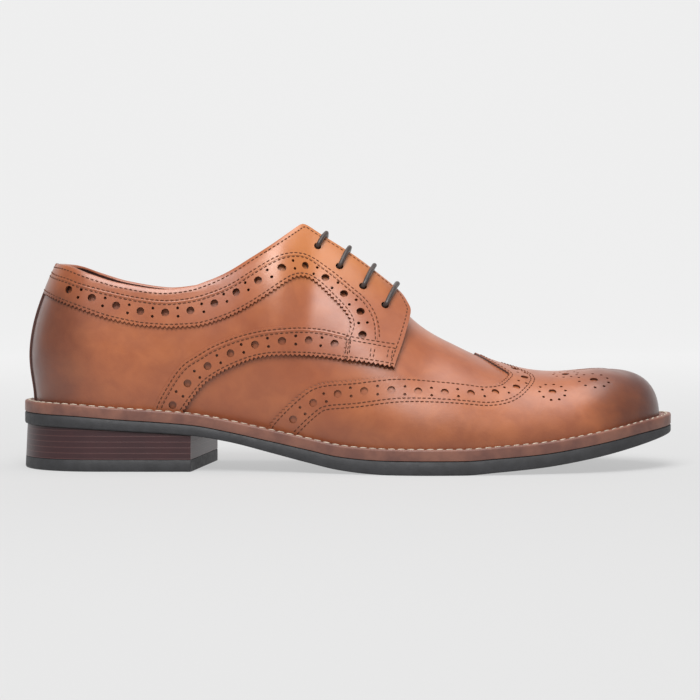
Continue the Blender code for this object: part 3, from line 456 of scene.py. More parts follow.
def last_point(t, v):
    row = look_up(t)
    reach, height = wall_of(row, v)
    for at, level, along, up, depth in SWELLS:
        x = row[..., 0] + row[..., 2] * reach
        reach = reach + depth * np.exp(-((x - at) / along)**2 - ((height - level) / up)**2)
    x = row[..., 0] + row[..., 2] * reach
    share = np.clip((HEEL_LINE_END - x) / (HEEL_LINE_END - HEEL_LINE_FULL), 0, 1)
    x = x + heel_shift(np.clip(height, HEEL_LINE[0][0], HEEL_LINE[-1][0])) * share**2 * (3 - 2 * share)
    return np.stack([x, row[..., 1] + row[..., 3] * reach, height], -1)


DT = 0.0012
DV = 0.003


def tangents(t, v):
    v0, v1 = np.maximum(v - DV, 0), np.minimum(v + DV, 1)
    inner = np.minimum(v, 1 - 2 * DV)
    along = (last_point(t + DT, inner) - last_point(t - DT, inner)) / (2 * DT)
    up = (last_point(t, v1) - last_point(t, v0)) / (v1 - v0)[..., None]
    return along, up


def last_normal(t, v):
    t, v = np.asarray(t, float), np.asarray(v, float)
    along, up = tangents(t, v)
    normal = np.cross(up, along)
    length = np.linalg.norm(normal, axis=-1, keepdims=True)
    return normal / np.maximum(length, 1e-12)


def on_last(t, v, offset):
    """Points at this height above the last's surface."""
    return last_point(t, v) + last_normal(t, v) * np.asarray(offset)[..., None]


def walk(t, v, move):
    """Shift points on the last by small moves in space."""
    along, up = tangents(t, v)
    aa, uu, au = (along * along).sum(-1), (up * up).sum(-1), (along * up).sum(-1)
    am, um = (along * move).sum(-1), (up * move).sum(-1)
    det = np.maximum(aa * uu - au * au, 1e-12)
    t = t + (am * uu - um * au) / det
    v = v + (um * aa - am * au) / det
    over = v > 1
    return np.where(over, -t, t), np.where(over, 2 - v, v)


def reach_of(t, v):
    return wall_of(look_up(t), v)[0]


def spine_along(t):
    return along_of(look_up(t)[..., 0])


def crossing(t, below):
    """v at which a wall point stops being below a line."""
    low, high = np.zeros_like(t), np.ones_like(t)
    for _ in range(34):
        middle = (low + high) / 2
        under = below(t, middle)
        low = np.where(under, middle, low)
        high = np.where(under, high, middle)
    return (low + high) / 2


def level_v(t, line, more=0.0):
    def below(t, v):
        point = last_point(t, v)
        return point[..., 2] < seat(point[..., 0]) + line(along_of(point[..., 0])) * INSTEP_HEIGHT + more
    return crossing(t, below)


def reach_v(t, reach):
    return crossing(t, lambda t, v: (wall_of(look_up(t), v)[0] > reach) | (v < 0.3))


def welt_v(t, face=QUARTER_FACE):
    def below(t, v):
        point = on_last(t, v, np.full_like(t, face))
        return point[..., 2] < welt_top(point[..., 0]) + 0.0001
    return crossing(t, below)


STATION_OF = (ATS, (TABLE[SAMPLES:, 0]))


def station(along):
    """Station whose spine point is at this share of the length."""
    x = (np.asarray(along, float) - 0.5) * SHOE_LENGTH
    return np.interp(x, STATION_OF[1], STATION_OF[0])


def facing_edge_v(t):
    along = spine_along(t)
    into = np.clip((along - (FACING_FRONT_TOP - FACING_CORNER_ROUND)) / FACING_CORNER_ROUND, 0, 1)
    drop = 1 - np.sqrt(np.maximum(1 - into**2, 0))
    return reach_v(t, THROAT_HALF_WIDTH + drop * FACING_CORNER_ROUND * SHOE_LENGTH)


def opening_v(t, half_gap=THROAT_HALF_WIDTH):
    along = spine_along(t)
    rim = np.where(along < FACING_TOP_CORNER + 0.02, level_v(t, RIM_LINE, -RIM_DROP), 1.0)
    throat = np.where(along > FACING_TOP_CORNER - 0.05, reach_v(t, half_gap), 1.0)
    return np.minimum(rim, throat)


def facing_lift(t, v):
    along = spine_along(t)
    reach = reach_of(t, v)
    forward = np.clip((along - LIFT_START) / (FACING_FRONT_TOP - LIFT_START), 0, 1)
    outward = np.clip((reach - THROAT_HALF_WIDTH) / (LIFT_SPREAD * BALL_WIDTH), 0, 1)
    return FACING_LIFT * forward**1.5 * (1 - outward * outward * (3 - 2 * outward))


# Places seen in the photograph, worked out on the last.

def in_picture(points):
    """Where the camera sees points, in the photograph's pixels."""
    offset = points - np.array(CAMERA_PLACE)
    depth = offset[..., 1] * math.cos(CAMERA_PITCH) - offset[..., 2] * math.sin(CAMERA_PITCH)
    up = offset[..., 2] * math.cos(CAMERA_PITCH) + offset[..., 1] * math.sin(CAMERA_PITCH)
    focal = CAMERA_LENS / CAMERA_SENSOR * PHOTO_WIDTH
    middle = PHOTO_WIDTH / 2
    return np.stack([middle + focal * offset[..., 0] / depth, middle - focal * up / depth], -1)


def through(places, steps=12):
    """A smooth line through places of the photograph."""
    spots = np.array(places, float)
    spots = np.vstack([2 * spots[0] - spots[1], spots, 2 * spots[-1] - spots[-2]])
    share = np.linspace(0, 1, steps, endpoint=False)[:, None]
    rows = []
    for a, b, c, d in zip(spots[:-3], spots[1:-2], spots[2:-1], spots[3:]):
        curve = 2 * b + (c - a) * share + (2 * a - 5 * b + 4 * c - d) * share**2
        rows.append((curve + (3 * b - a - 3 * c + d) * share**3) / 2)
    rows.append(spots[-2:-1])
    return np.concatenate(rows)


def starting_grid():
    """Stations, v and places in the picture of a grid on the lateral side that faces the camera."""
    at, v = np.meshgrid(np.linspace(0.02, 0.98, 240), np.linspace(0.1, 0.99, 90))
    at, v = at.ravel(), v.ravel()
    spots = last_point(-at, v)
    towards = (last_normal(-at, v) * (spots - np.array(CAMERA_PLACE))).sum(-1) < 0
    return at[towards], v[towards], in_picture(spots[towards])


GRID_AT, GRID_V, GRID_PLACES = starting_grid()


def seen_on_last(places, face):
    """Stations and v of what the camera sees at these places, on a face of the lateral side."""
    places = np.array(places, float)

    def seen(at, v):
        return in_picture(on_last(-at, v, face(-at, v)))

    near = [np.argmin(((GRID_PLACES - place)**2).sum(-1)) for place in places]
    at, v = GRID_AT[near], GRID_V[near]
    for _ in range(6):
        miss = places - seen(at, v)
        by_at = (seen(at + DT, v) - seen(at - DT, v)) / (2 * DT)
        by_v = (seen(at, v + DV) - seen(at, v - DV)) / (2 * DV)
        det = by_at[:, 0] * by_v[:, 1] - by_at[:, 1] * by_v[:, 0]
        det = np.where(np.abs(det) < 1e-6, 1e-6, det)
        at = at + np.clip((miss[:, 0] * by_v[:, 1] - miss[:, 1] * by_v[:, 0]) / det, -0.01, 0.01)
        v = v + np.clip((by_at[:, 0] * miss[:, 1] - by_at[:, 1] * miss[:, 0]) / det, -0.03, 0.03)
        v = np.clip(v, 0.01, 0.995)
    return at, v


def seen_levels(places, face):
    """Stations, and heights above the seat, of what the camera sees at these places."""
    at, v = seen_on_last(places, face)
    spots = last_point(-at, v)
    return at, (spots[:, 2] - seat(spots[:, 0])) / INSTEP_HEIGHT


def seen_line(side, places, face):
    """A line seen in the photograph, at the same heights on either side."""
    at, levels = seen_levels(through(places), face)
    return at * side, level_v(at * side, lambda where: levels)


# Mesh helpers.

def link_mesh(name, mesh, material, smooth=True):
    thing = bpy.data.objects.new(name, mesh)
    bpy.context.scene.collection.objects.link(thing)
    mesh.materials.append(material)
    if smooth:
        mesh.shade_smooth()
    return thing


def place_grid(name, rows, columns, put, material, wrap_rows=False, wrap_columns=False, sharp=35):
    """A grid whose points are put in place by put(i, j) on whole arrays."""
    form = bmesh.new()
    bmesh.ops.create_grid(form, x_segments=columns, y_segments=rows, size=0.5)
    form.verts.ensure_lookup_table()
    flat = np.array([vert.co[:] for vert in form.verts])
    j = np.rint((flat[:, 0] + 0.5) * columns).astype(int)
    i = np.rint((flat[:, 1] + 0.5) * rows).astype(int)
    if wrap_rows:
        i = i % rows
    if wrap_columns:
        j = j % columns
    for vert, place in zip(form.verts, put(i, j)):
        vert.co = place
    bmesh.ops.remove_doubles(form, verts=form.verts[:], dist=1e-6)
    bmesh.ops.dissolve_degenerate(form, edges=form.edges[:], dist=1e-7)
    bmesh.ops.recalc_face_normals(form, faces=form.faces[:])
    mesh = bpy.data.meshes.new(name)
    form.to_mesh(mesh)
    form.free()
    thing = link_mesh(name, mesh, material)
    mesh.set_sharp_from_angle(angle=math.radians(sharp))
    return thing


def keep(piece, slot, *nodes):
    """The piece rides on the shoe and stands for these solids."""
    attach(piece, "root")
    if nodes:
        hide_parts(*nodes)
    return piece


# Materials.

def new_material(name):
    material = bpy.data.materials.new(name)
    material.use_nodes = True
    tree = material.node_tree
    return material, tree, tree.nodes["Principled BSDF"]


def add_node(tree, kind, **values):
    node = tree.nodes.new(kind)
    for name, value in values.items():
        if hasattr(node, name):
            setattr(node, name, value)
        else:
            node.inputs[name.replace("_", " ").title()].default_value = value
    return node


def joined(tree, source, target, socket):
    tree.links.new(source, target.inputs[socket])
    return target


def noise(tree, scale, detail=4.0, roughness=0.55, distortion=0.0):
    places = add_node(tree, "ShaderNodeTexCoord")
    node = add_node(tree, "ShaderNodeTexNoise")
    node.inputs["Scale"].default_value = scale
    node.inputs["Detail"].default_value = detail
    node.inputs["Roughness"].default_value = roughness
    node.inputs["Distortion"].default_value = distortion
    tree.links.new(places.outputs["Object"], node.inputs["Vector"])
    return node.outputs["Fac"]


def ramp(tree, value, low, high, start=0.0, end=1.0, smooth=True):
    node = add_node(tree, "ShaderNodeMapRange")
    if smooth:
        node.interpolation_type = "SMOOTHSTEP"
    node.inputs["From Min"].default_value = low
    node.inputs["From Max"].default_value = high
    node.inputs["To Min"].default_value = start
    node.inputs["To Max"].default_value = end
    tree.links.new(value, node.inputs["Value"])
    return node.outputs["Result"]


def maths(tree, kind, first, second=None):
    node = add_node(tree, "ShaderNodeMath", operation=kind)
    for index, value in enumerate((first, second)):
        if value is None:
            continue
        if isinstance(value, (int, float)):
            node.inputs[index].default_value = value
        else:
            tree.links.new(value, node.inputs[index])
    return node.outputs[0]


def blend(tree, amount, first, second, kind="MIX"):
    node = add_node(tree, "ShaderNodeMix", data_type="RGBA", blend_type=kind)
    sockets = [socket for socket in node.inputs if socket.type == "RGBA"]
    if isinstance(amount, (int, float)):
        node.inputs[0].default_value = amount
    else:
        tree.links.new(amount, node.inputs[0])
    for socket, value in zip(sockets, (first, second)):
        if isinstance(value, tuple):
            socket.default_value = (*value, 1.0)
        else:
            tree.links.new(value, socket)
    return [socket for socket in node.outputs if socket.type == "RGBA"][0]


def place_axis(tree, axis):
    places = add_node(tree, "ShaderNodeTexCoord")
    split = add_node(tree, "ShaderNodeSeparateXYZ")
    tree.links.new(places.outputs["Object"], split.inputs[0])
    return split.outputs[axis]


def bump(tree, height, strength, distance, under=None):
    node = add_node(tree, "ShaderNodeBump")
    node.inputs["Strength"].default_value = strength
    node.inputs["Distance"].default_value = distance
    tree.links.new(height, node.inputs["Height"])
    if under is not None:
        tree.links.new(under, node.inputs["Normal"])
    return node.outputs["Normal"]


TAN = (0.335, 0.088, 0.028)
TAN_LIGHT = (0.42, 0.125, 0.040)
TAN_DEEP = (0.23, 0.052, 0.018)
FACING_ORANGE = (0.52, 0.175, 0.040)
BURNISH = (0.040, 0.010, 0.010)
# Dark colour of the panels' cut edges and punched-hole walls: partly the leather's own dark cut edge, partly
# painted shade under the edges and down the holes.
EDGE_DARK_AND_SHADE = (0.035, 0.011, 0.007)


def leather(name, light=TAN_LIGHT, body=TAN, deep=TAN_DEEP, burnished=1.0):
    """Polished calf with mottled colour, burnished at the toe and heel, darker towards the welt; cut edges and
    hole walls darkened, partly painted shade.
    """
    material, tree, shader = new_material(name)
    wide = ramp(tree, noise(tree, 22, 3, 0.5, 0.3), 0.32, 0.70)
    patches = ramp(tree, noise(tree, 95, 5, 0.6, 0.4), 0.30, 0.75)
    colour = blend(tree, wide, body, light)
    colour = blend(tree, maths(tree, "MULTIPLY", patches, 0.45), colour, deep)
    x = place_axis(tree, 0)
    z = place_axis(tree, 2)
    wander = maths(tree, "MULTIPLY", maths(tree, "SUBTRACT", noise(tree, 40, 4), 0.5), 0.030)
    x_wander = maths(tree, "ADD", x, wander)
    z_wander = maths(tree, "ADD", z, wander)
    orange = maths(tree, "MULTIPLY", ramp(tree, z_wander, 0.078, 0.100), ramp(tree, x_wander, -0.045, -0.020))
    colour = blend(tree, maths(tree, "MULTIPLY", orange, 0.7), colour, FACING_ORANGE)
    toe = ramp(tree, maths(tree, "ADD", x_wander, maths(tree, "MULTIPLY", z, 0.25)), 0.108, 0.147)
    heel = ramp(tree, x_wander, -0.102, -0.150, 0.0, 0.85)
    heel = maths(tree, "MULTIPLY", heel, ramp(tree, z_wander, 0.105, 0.070))
    # Darker towards the welt, in the burnish colour.
    foot = maths(tree, "MULTIPLY", ramp(tree, z_wander, 0.036, 0.014), 0.30)
    shade = maths(tree, "MAXIMUM", maths(tree, "MAXIMUM", toe, heel), foot)
    shade = maths(tree, "MULTIPLY", shade, 0.85 * burnished)
    colour = blend(tree, shade, colour, BURNISH)
    # Walls marked by this attribute turn dark: the cut edge's own colour plus painted shade under the edges and
    # inside the punched holes.
    edge_dark_and_shade = add_node(tree, "ShaderNodeAttribute", attribute_name="edge_dark_and_shade")
    colour = blend(tree, ramp(tree, edge_dark_and_shade.outputs["Fac"], 0.0, 0.4), colour, EDGE_DARK_AND_SHADE)
    tree.links.new(colour, shader.inputs["Base Color"])
    gloss = ramp(tree, noise(tree, 160, 4), 0.2, 0.8, 0.34, 0.46)
    tree.links.new(gloss, shader.inputs["Roughness"])
    shader.inputs["Specular IOR Level"].default_value = 0.5
    shader.inputs["Coat Weight"].default_value = 0.60
    shader.inputs["Coat Roughness"].default_value = 0.38
    cells = add_node(tree, "ShaderNodeTexVoronoi", feature="SMOOTH_F1")
    cells.inputs["Scale"].default_value = 1300
    places = add_node(tree, "ShaderNodeTexCoord")
    tree.links.new(places.outputs["Object"], cells.inputs["Vector"])
    fine = bump(tree, cells.outputs["Distance"], 0.12, 0.0002)
    soft = bump(tree, noise(tree, 210, 5, 0.6), 0.16, 0.0006, fine)
    tree.links.new(soft, shader.inputs["Normal"])
    return material


def plain_material(name, colour, roughness, grain=400, grain_strength=0.15, other=None, coat=0.0):
    material, tree, shader = new_material(name)
    other = other or tuple(c * 0.6 for c in colour)
    mixed = blend(tree, ramp(tree, noise(tree, grain / 5, 5), 0.3, 0.7), colour, other)
    tree.links.new(mixed, shader.inputs["Base Color"])
    tree.links.new(ramp(tree, noise(tree, grain / 2, 3), 0.2, 0.8, roughness - 0.08, roughness + 0.08),
                   shader.inputs["Roughness"])
    shader.inputs["Coat Weight"].default_value = coat
    shader.inputs["Coat Roughness"].default_value = 0.3
    tree.links.new(bump(tree, noise(tree, grain, 4), grain_strength, 0.0004), shader.inputs["Normal"])
    return material


def stack_material():
    """Heel of thin leather lifts: fine level lines, stained burgundy."""
    material, tree, shader = new_material("heel_stack_wax")
    z = place_axis(tree, 2)
    wander = maths(tree, "MULTIPLY", maths(tree, "SUBTRACT", noise(tree, 60, 3), 0.5), 0.0004)
    layers = maths(tree, "MULTIPLY", maths(tree, "ADD", z, wander), 2 * math.pi / 0.0026)
    lines = ramp(tree, maths(tree, "SINE", layers), 0.80, 1.0)
    colour = blend(tree, noise(tree, 80, 4), (0.050, 0.014, 0.016), (0.026, 0.009, 0.011))
    colour = blend(tree, maths(tree, "MULTIPLY", lines, 0.40), colour, (0.13, 0.055, 0.050))
    tree.links.new(colour, shader.inputs["Base Color"])
    shader.inputs["Roughness"].default_value = 0.42
    shader.inputs["Coat Weight"].default_value = 0.15
    shader.inputs["Coat Roughness"].default_value = 0.3
    rough = bump(tree, lines, 0.25, 0.0002)
    tree.links.new(bump(tree, noise(tree, 500, 4), 0.2, 0.0003, rough), shader.inputs["Normal"])
    return material


# Sole pieces.

def sole_loop(t, inset, height):
    """Points that follow the sole's edge at this inset."""
    row = look_up(t)
    reach = row[..., 4] - inset
    x = row[..., 0] + row[..., 2] * reach
    y = row[..., 1] + row[..., 3] * reach
    return np.stack([x, y, height(x)], -1)


def slab(name, levels, material, stations=150, across=10, ends=(1.0, 1.0)):
    """A plate with the sole's plan. levels: (inset, height), bottom to top."""
    share = np.linspace(0, 1, stations + 1)
    profile = []
    for inset, height in levels:
        profile.append(("side", LATERAL, inset, height))
    for k in range(1, across):
        profile.append(("across", k / across, levels[-1][0], levels[-1][1]))
    for inset, height in reversed(levels):
        profile.append(("side", MEDIAL, inset, height))
    for k in range(1, across):
        profile.append(("across", 1 - k / across, levels[0][0], levels[0][1]))
    table = np.zeros((stations + 1, len(profile), 3))
    for j, (kind, where, inset, height) in enumerate(profile):
        left = sole_loop(-share * ends[0], inset, height)
        right = sole_loop(share * ends[1], inset, height)
        if kind == "side":
            table[:, j] = left if where == LATERAL else right
        else:
            points = left * (1 - where) + right * where
            points[:, 2] = height(points[:, 0])
            table[:, j] = points
    count = len(profile)
    thing = place_grid(name, stations, count, lambda i, j: table[i, j], material,
                       wrap_columns=True, sharp=50)
    if ends[0] < 1:
        form = bmesh.new()
        form.from_mesh(thing.data)
        rim = [edge for edge in form.edges if edge.is_boundary]
        filled = bmesh.ops.triangle_fill(form, edges=rim, use_beauty=True)
        bmesh.ops.recalc_face_normals(form, faces=form.faces[:])
        form.to_mesh(thing.data)
        form.free()
        thing.data.set_sharp_from_angle(angle=math.radians(40))
    return thing


def make_sole(rubber, stack, welt_leather, lining):
    soft = 0.0008
    outsole = slab("outsole_rubber", [
        (soft, underside), (soft * 0.3, lambda x: underside(x) + soft * 0.3),
        (0.0, lambda x: underside(x) + soft), (0.0, lambda x: seat(x) - soft / 2),
        (soft / 2, seat)], rubber)
    keep(outsole, "grey_rubber", "outsole")
    ends = (float(station(HEEL_BREAST_LATERAL / SHOE_LENGTH)),
            float(station(HEEL_BREAST_MEDIAL / SHOE_LENGTH)))
    heel = slab("heel_lifts", [
        (HEEL_INSET - HEEL_FLARE * 0.75, lambda x: np.full_like(x, TOP_LIFT_THICK + 0.0002)),
        (HEEL_INSET, lambda x: underside(x) - 0.0002)], stack, 60, 8, ends)
    keep(heel, "burgundy_stack", "heel_stack")
    lift = slab("heel_rubber", [
        (HEEL_INSET - HEEL_FLARE + soft, lambda x: np.zeros_like(x)),
        (HEEL_INSET - HEEL_FLARE + soft * 0.3, lambda x: np.full_like(x, soft * 0.3)),
        (HEEL_INSET - HEEL_FLARE, lambda x: np.full_like(x, soft)),
        (HEEL_INSET - HEEL_FLARE * 0.8, lambda x: np.full_like(x, TOP_LIFT_THICK - 0.0003)),
        (HEEL_INSET - HEEL_FLARE * 0.6, lambda x: np.full_like(x, TOP_LIFT_THICK))],
        rubber, 60, 8, ends)
    keep(lift, "grey_rubber", "top_lift")
    sock = FEATHER_INSET + UPPER_WALL + 0.0005
    insole = slab("insole_sock", [
        (sock, lambda x: seat(x) + CLEAR), (sock, lambda x: seat(x) + CLEAR + INSOLE_THICK)], lining)
    keep(insole, "dark_lining", "insole")


WELT_PROFILE = [
    # Share of the way from the upper to the edge, and height above the seat.
    (0.0, 0.0), (0.97, 0.0), (1.0, 0.0004), (1.0, 0.0042), (0.985, 0.0047), (0.94, 0.0050),
    (0.62, 0.0051), (0.52, 0.0048), (0.42, 0.0051), (0.10, 0.0050), (0.0, 0.0048),
]


def make_welt(material):
    loop = 420
    t = np.arange(loop) / loop * 2 - 1
    row = look_up(t)
    v = welt_v(t, 0.0)
    foot = np.maximum(row[:, 5], wall_of(row, v)[0]) + 0.0001
    table = np.zeros((loop, len(WELT_PROFILE), 3))
    for j, (share, height) in enumerate(WELT_PROFILE):
        reach = foot + (row[:, 4] - foot) * share
        x = row[:, 0] + row[:, 2] * reach
        table[:, j] = np.stack([x, row[:, 1] + row[:, 3] * reach, seat(x) + CLEAR + height], -1)
    welt = place_grid("welt_leather", loop, len(WELT_PROFILE), lambda i, j: table[i, j], material,
                      wrap_rows=True, wrap_columns=True, sharp=50)
    keep(welt, "welt_leather", "welt")


# Leather panels: cut to an outline, punched, and lasted.

def resample(t, v, offset, pitch, closed=False):
    """Points a pitch apart along a line on the last."""
    points = on_last(t, v, np.full_like(t, offset))
    steps = np.linalg.norm(np.diff(points, axis=0), axis=1)
    length = np.concatenate([[0], np.cumsum(steps)])
    count = max(int(round(length[-1] / pitch)), 1)
    wanted = np.linspace(0, length[-1], count + 1)
    return np.interp(wanted, length, t), np.interp(wanted, length, v)


def side_flat(t, v):
    """Nearly true-size flat place of points on one side, seen from outside."""
    return np.stack([-t * 342.0, v * 100.0], -1)


def crown_flat(t, v):
    """Flat place of points seen from above, walls laid out from the spine."""
    row = look_up(t)
    parts = 24
    spread = wall_of(row, np.ones_like(v))[0]
    before = last_point(t, np.ones_like(v))
    for k in range(1, parts + 1):
        here = last_point(t, 1 - (1 - v) * k / parts)
        spread = spread + np.linalg.norm(here - before, axis=-1)
        before = here
    return np.stack([row[..., 0] + row[..., 2] * spread, row[..., 1] + row[..., 3] * spread], -1) * 1000


def gimped(t, v, turn):
    """A pinked edge: every other point of the line steps inwards."""
    t, v = resample(t, v, 0.0015, GIMP_PITCH / 2)
    points = last_point(t, v)
    run = np.gradient(points, axis=0)
    run /= np.linalg.norm(run, axis=1, keepdims=True)
    inward = np.cross(last_normal(t, v), run) * turn
    step = np.where(np.arange(len(t)) % 2 == 1, GIMP_DEPTH, 0.0)
    step[0] = step[-1] = 0
    return walk(t, v, inward * step[:, None])


def punch_ring(t, v, bore, sides):
    """Outline of a round hole round one point on the last."""
    t0, v0 = np.array([t]), np.array([v])
    along, up = tangents(t0, v0)
    normal = last_normal(t0, v0)[0]
    first = along[0] / np.linalg.norm(along[0])
    second = np.cross(normal, first)
    angles = np.arange(sides) / sides * 2 * math.pi
    moves = (np.cos(angles)[:, None] * first + np.sin(angles)[:, None] * second) * bore / 2
    return walk(np.full(sides, t), np.full(sides, v), moves)


def inside_outline(points, outline):
    """Whether each flat point is inside the closed outline."""
    x, y = points[:, 0][:, None], points[:, 1][:, None]
    x0, y0 = outline[:, 0][None], outline[:, 1][None]
    x1, y1 = np.roll(x0, -1, 1), np.roll(y0, -1, 1)
    crosses = (y0 > y) != (y1 > y)
    with np.errstate(divide="ignore", invalid="ignore"):
        at = x0 + (y - y0) / (y1 - y0) * (x1 - x0)
    return (np.count_nonzero(crosses & (x < at), axis=1) % 2) == 1


def flare_of(outline, reach=5):
    """Small outward moves along an outline, so that its cut edge shows from the front."""
    points = last_point(*outline)
    run = np.roll(points, -reach, axis=0) - np.roll(points, reach, axis=0)
    out = np.cross(last_normal(*outline), run)
    out /= np.maximum(np.linalg.norm(out, axis=1, keepdims=True), 1e-9)
    steps = np.linalg.norm(run, axis=1)
    outward = ((points - points.mean(axis=0)) * out).sum(axis=1) @ steps > 0
    return out * (EDGE_FLARE if outward else -EDGE_FLARE)


def cut_panel(name, outline, holes, inner, outer, material, flat=side_flat, spacing=0.0022,
              candidates=None):
    """A leather panel. outline: (t, v) round it. holes: (t, v, bore).

    inner and outer give the heights of its two faces above the last.
    """
    rings = [outline]
    for t, v, bore in holes:
        rings.append(punch_ring(t, v, bore, 14 if bore > 0.002 else 8))
    ring_ids = np.concatenate([np.full(len(ring[0]), k) for k, ring in enumerate(rings)])
    t = np.concatenate([ring[0] for ring in rings])
    v = np.concatenate([ring[1] for ring in rings])
    edges = []
    start = 0
    for ring in rings:
        count = len(ring[0])
        edges += [(start + i, start + (i + 1) % count) for i in range(count)]
        start += count
    rim_points = last_point(t, v)
    outline_flat = flat(outline[0], outline[1])
    ct, cv = candidates
    keep_point = inside_outline(flat(ct, cv), outline_flat)
    ct, cv = ct[keep_point], cv[keep_point]
    spots = last_point(ct, cv)
    nearest = np.full(len(ct), 1.0)
    for k in range(0, len(rim_points), 400):
        gap = np.linalg.norm(spots[:, None] - rim_points[None, k:k + 400], axis=2).min(axis=1)
        nearest = np.minimum(nearest, gap)
    keep_point = nearest > spacing * 0.45
    for ht, hv, bore in holes:
        centre = last_point(np.array([ht]), np.array([hv]))[0]
        keep_point &= np.linalg.norm(spots - centre, axis=1) > bore / 2 + spacing * 0.3
    ct, cv = ct[keep_point], cv[keep_point]
    t, v = np.concatenate([t, ct]), np.concatenate([v, cv])
    ring_ids = np.concatenate([ring_ids, np.full(len(ct), -1)])
    places = flat(t, v)
    found = geometry.delaunay_2d_cdt([Vector(p) for p in places], edges, [], 0, 1e-6)
    origin = [ids[0] if ids else -1 for ids in found[3]]
    faces = np.array([[origin[i] for i in face] for face in found[2] if len(face) == 3])
    faces = faces[(faces >= 0).all(axis=1)]
    centres = places[faces].mean(axis=1)
    good = inside_outline(centres, outline_flat)
    ids = ring_ids[faces]
    in_hole = (ids[:, 0] > 0) & (ids[:, 0] == ids[:, 1]) & (ids[:, 0] == ids[:, 2])
    faces = faces[good & ~in_hole]
    low = on_last(t, v, inner(t, v))
    low[:len(outline[0])] += flare_of(outline)
    high = on_last(t, v, outer(t, v))
    form = bmesh.new()
    form.verts.layers.int.new("mark")
    form.verts.layers.float.new("edge_dark_and_shade")
    mark, shade = form.verts.layers.int["mark"], form.verts.layers.float["edge_dark_and_shade"]
    verts = [form.verts.new(place) for place in low]
    for number, vert in enumerate(verts):
        vert[mark] = number
    for face in faces:
        form.faces.new([verts[i] for i in face])
    loose = [vert for vert in verts if not vert.link_faces]
    bmesh.ops.delete(form, geom=loose, context="VERTS")
    made = bmesh.ops.extrude_face_region(form, geom=form.faces[:], use_keep_orig=True)
    raised = {item for item in made["geom"] if isinstance(item, bmesh.types.BMVert)}
    for vert in raised:
        vert.co = high[vert[mark]]
    bmesh.ops.recalc_face_normals(form, faces=form.faces[:])
    # Underside and cut walls are marked 1 and darkened by the leather material: partly the cut edge's colour,
    # partly painted shade.
    for vert in form.verts:
        vert[shade] = 0.0 if vert in raised else 1.0
    mesh = bpy.data.meshes.new(name)
    form.to_mesh(mesh)
    form.free()
    thing = link_mesh(name, mesh, material)
    true_normals(mesh, t, v, outer)
    return thing


def face_normals(t, v, outer):
    """Normals of the raised outer face, from the surface itself."""
    step = 0.0008
    side = np.stack([on_last(t + step, v, outer(t + step, v)) - on_last(t - step, v, outer(t - step, v))], 0)[0]
    v0, v1 = np.maximum(v - 0.004, 0), np.minimum(v + 0.004, 1)
    rise = on_last(t, v1, outer(t, v1)) - on_last(t, v0, outer(t, v0))
    normal = np.cross(rise, side)
    length = np.linalg.norm(normal, axis=-1, keepdims=True)
    plain = last_normal(t, v)
    return np.where(length > 1e-12, normal / np.maximum(length, 1e-12), plain)


def true_normals(mesh, t, v, outer):
    """Shade the outer face by the last's own curvature, and the cut edges flat."""
    numbers = np.zeros(len(mesh.vertices), int)
    mesh.attributes["mark"].data.foreach_get("value", numbers)
    edge_dark_and_shade = np.zeros(len(mesh.vertices))
    mesh.attributes["edge_dark_and_shade"].data.foreach_get("value", edge_dark_and_shade)
    smooth = face_normals(t, v, outer)[numbers]
    normals = np.zeros((len(mesh.loops), 3))
    for polygon in mesh.polygons:
        loops = range(polygon.loop_start, polygon.loop_start + polygon.loop_total)
        corners = [mesh.loops[k].vertex_index for k in loops]
        if all(edge_dark_and_shade[c] == 0 for c in corners):
            normals[list(loops)] = smooth[corners]
        elif all(edge_dark_and_shade[c] == 1 for c in corners):
            normals[list(loops)] = -smooth[corners]
        else:
            normals[list(loops)] = polygon.normal
    mesh.normals_split_custom_set([tuple(n) for n in normals])


def side_candidates(side, first, last, spacing=0.0022):
    """Points spread over one side between two stations."""
    at = np.arange(first, last, spacing / 0.342)
    v = np.linspace(0.0, 1.0, int(0.105 / spacing))
    grid_t, grid_v = np.meshgrid(at * side, v)
    return grid_t.ravel(), grid_v.ravel()


def crown_candidates(first, spacing=0.0022):
    """Points spread over both sides of the forefoot, thinned towards the toe's pole."""
    ts, vs = [], []
    for number, at in enumerate(np.arange(first, 1.0, spacing / 0.342)):
        v = np.linspace(0.0, 1.0, int(0.075 / spacing))
        for side in (LATERAL, MEDIAL):
            reach = reach_of(np.full_like(v, at * side), v)
            turning = at > 1 - TOE_TURN + TOE_BLEND * 0.5
            open_enough = (reach > 0.012) | (number % 2 == 0) | (not turning)
            open_enough &= (reach > 0.005) | (number % 6 == 0) | (not turning)
            ts.append(np.full_like(v, at * side)[open_enough])
            vs.append(v[open_enough])
    return np.concatenate(ts), np.concatenate(vs)


def height_face(value, lifted=True):
    def face(t, v):
        base = np.full_like(t, value)
        return base + facing_lift(t, v) if lifted else base
    return face


def line_along(side, first, last, rule, count=400):
    """A line on one side: v is a rule of t between two stations."""
    at = np.linspace(first, last, count)
    t = at * side
    return t, rule(t)


def chain(*parts):
    """Join lines end to end into one closed outline, without repeated points."""
    t = np.concatenate([part[0] for part in parts])
    v = np.concatenate([part[1] for part in parts])
    points = last_point(t, v)
    gap = np.linalg.norm(points - np.roll(points, 1, axis=0), axis=1)
    good = gap > 1e-4
    return t[good], v[good]


def upright(side, at, low, high, count=40):
    """A line up one section."""
    v = np.linspace(low, high, count)
    return np.full(count, at * side), v



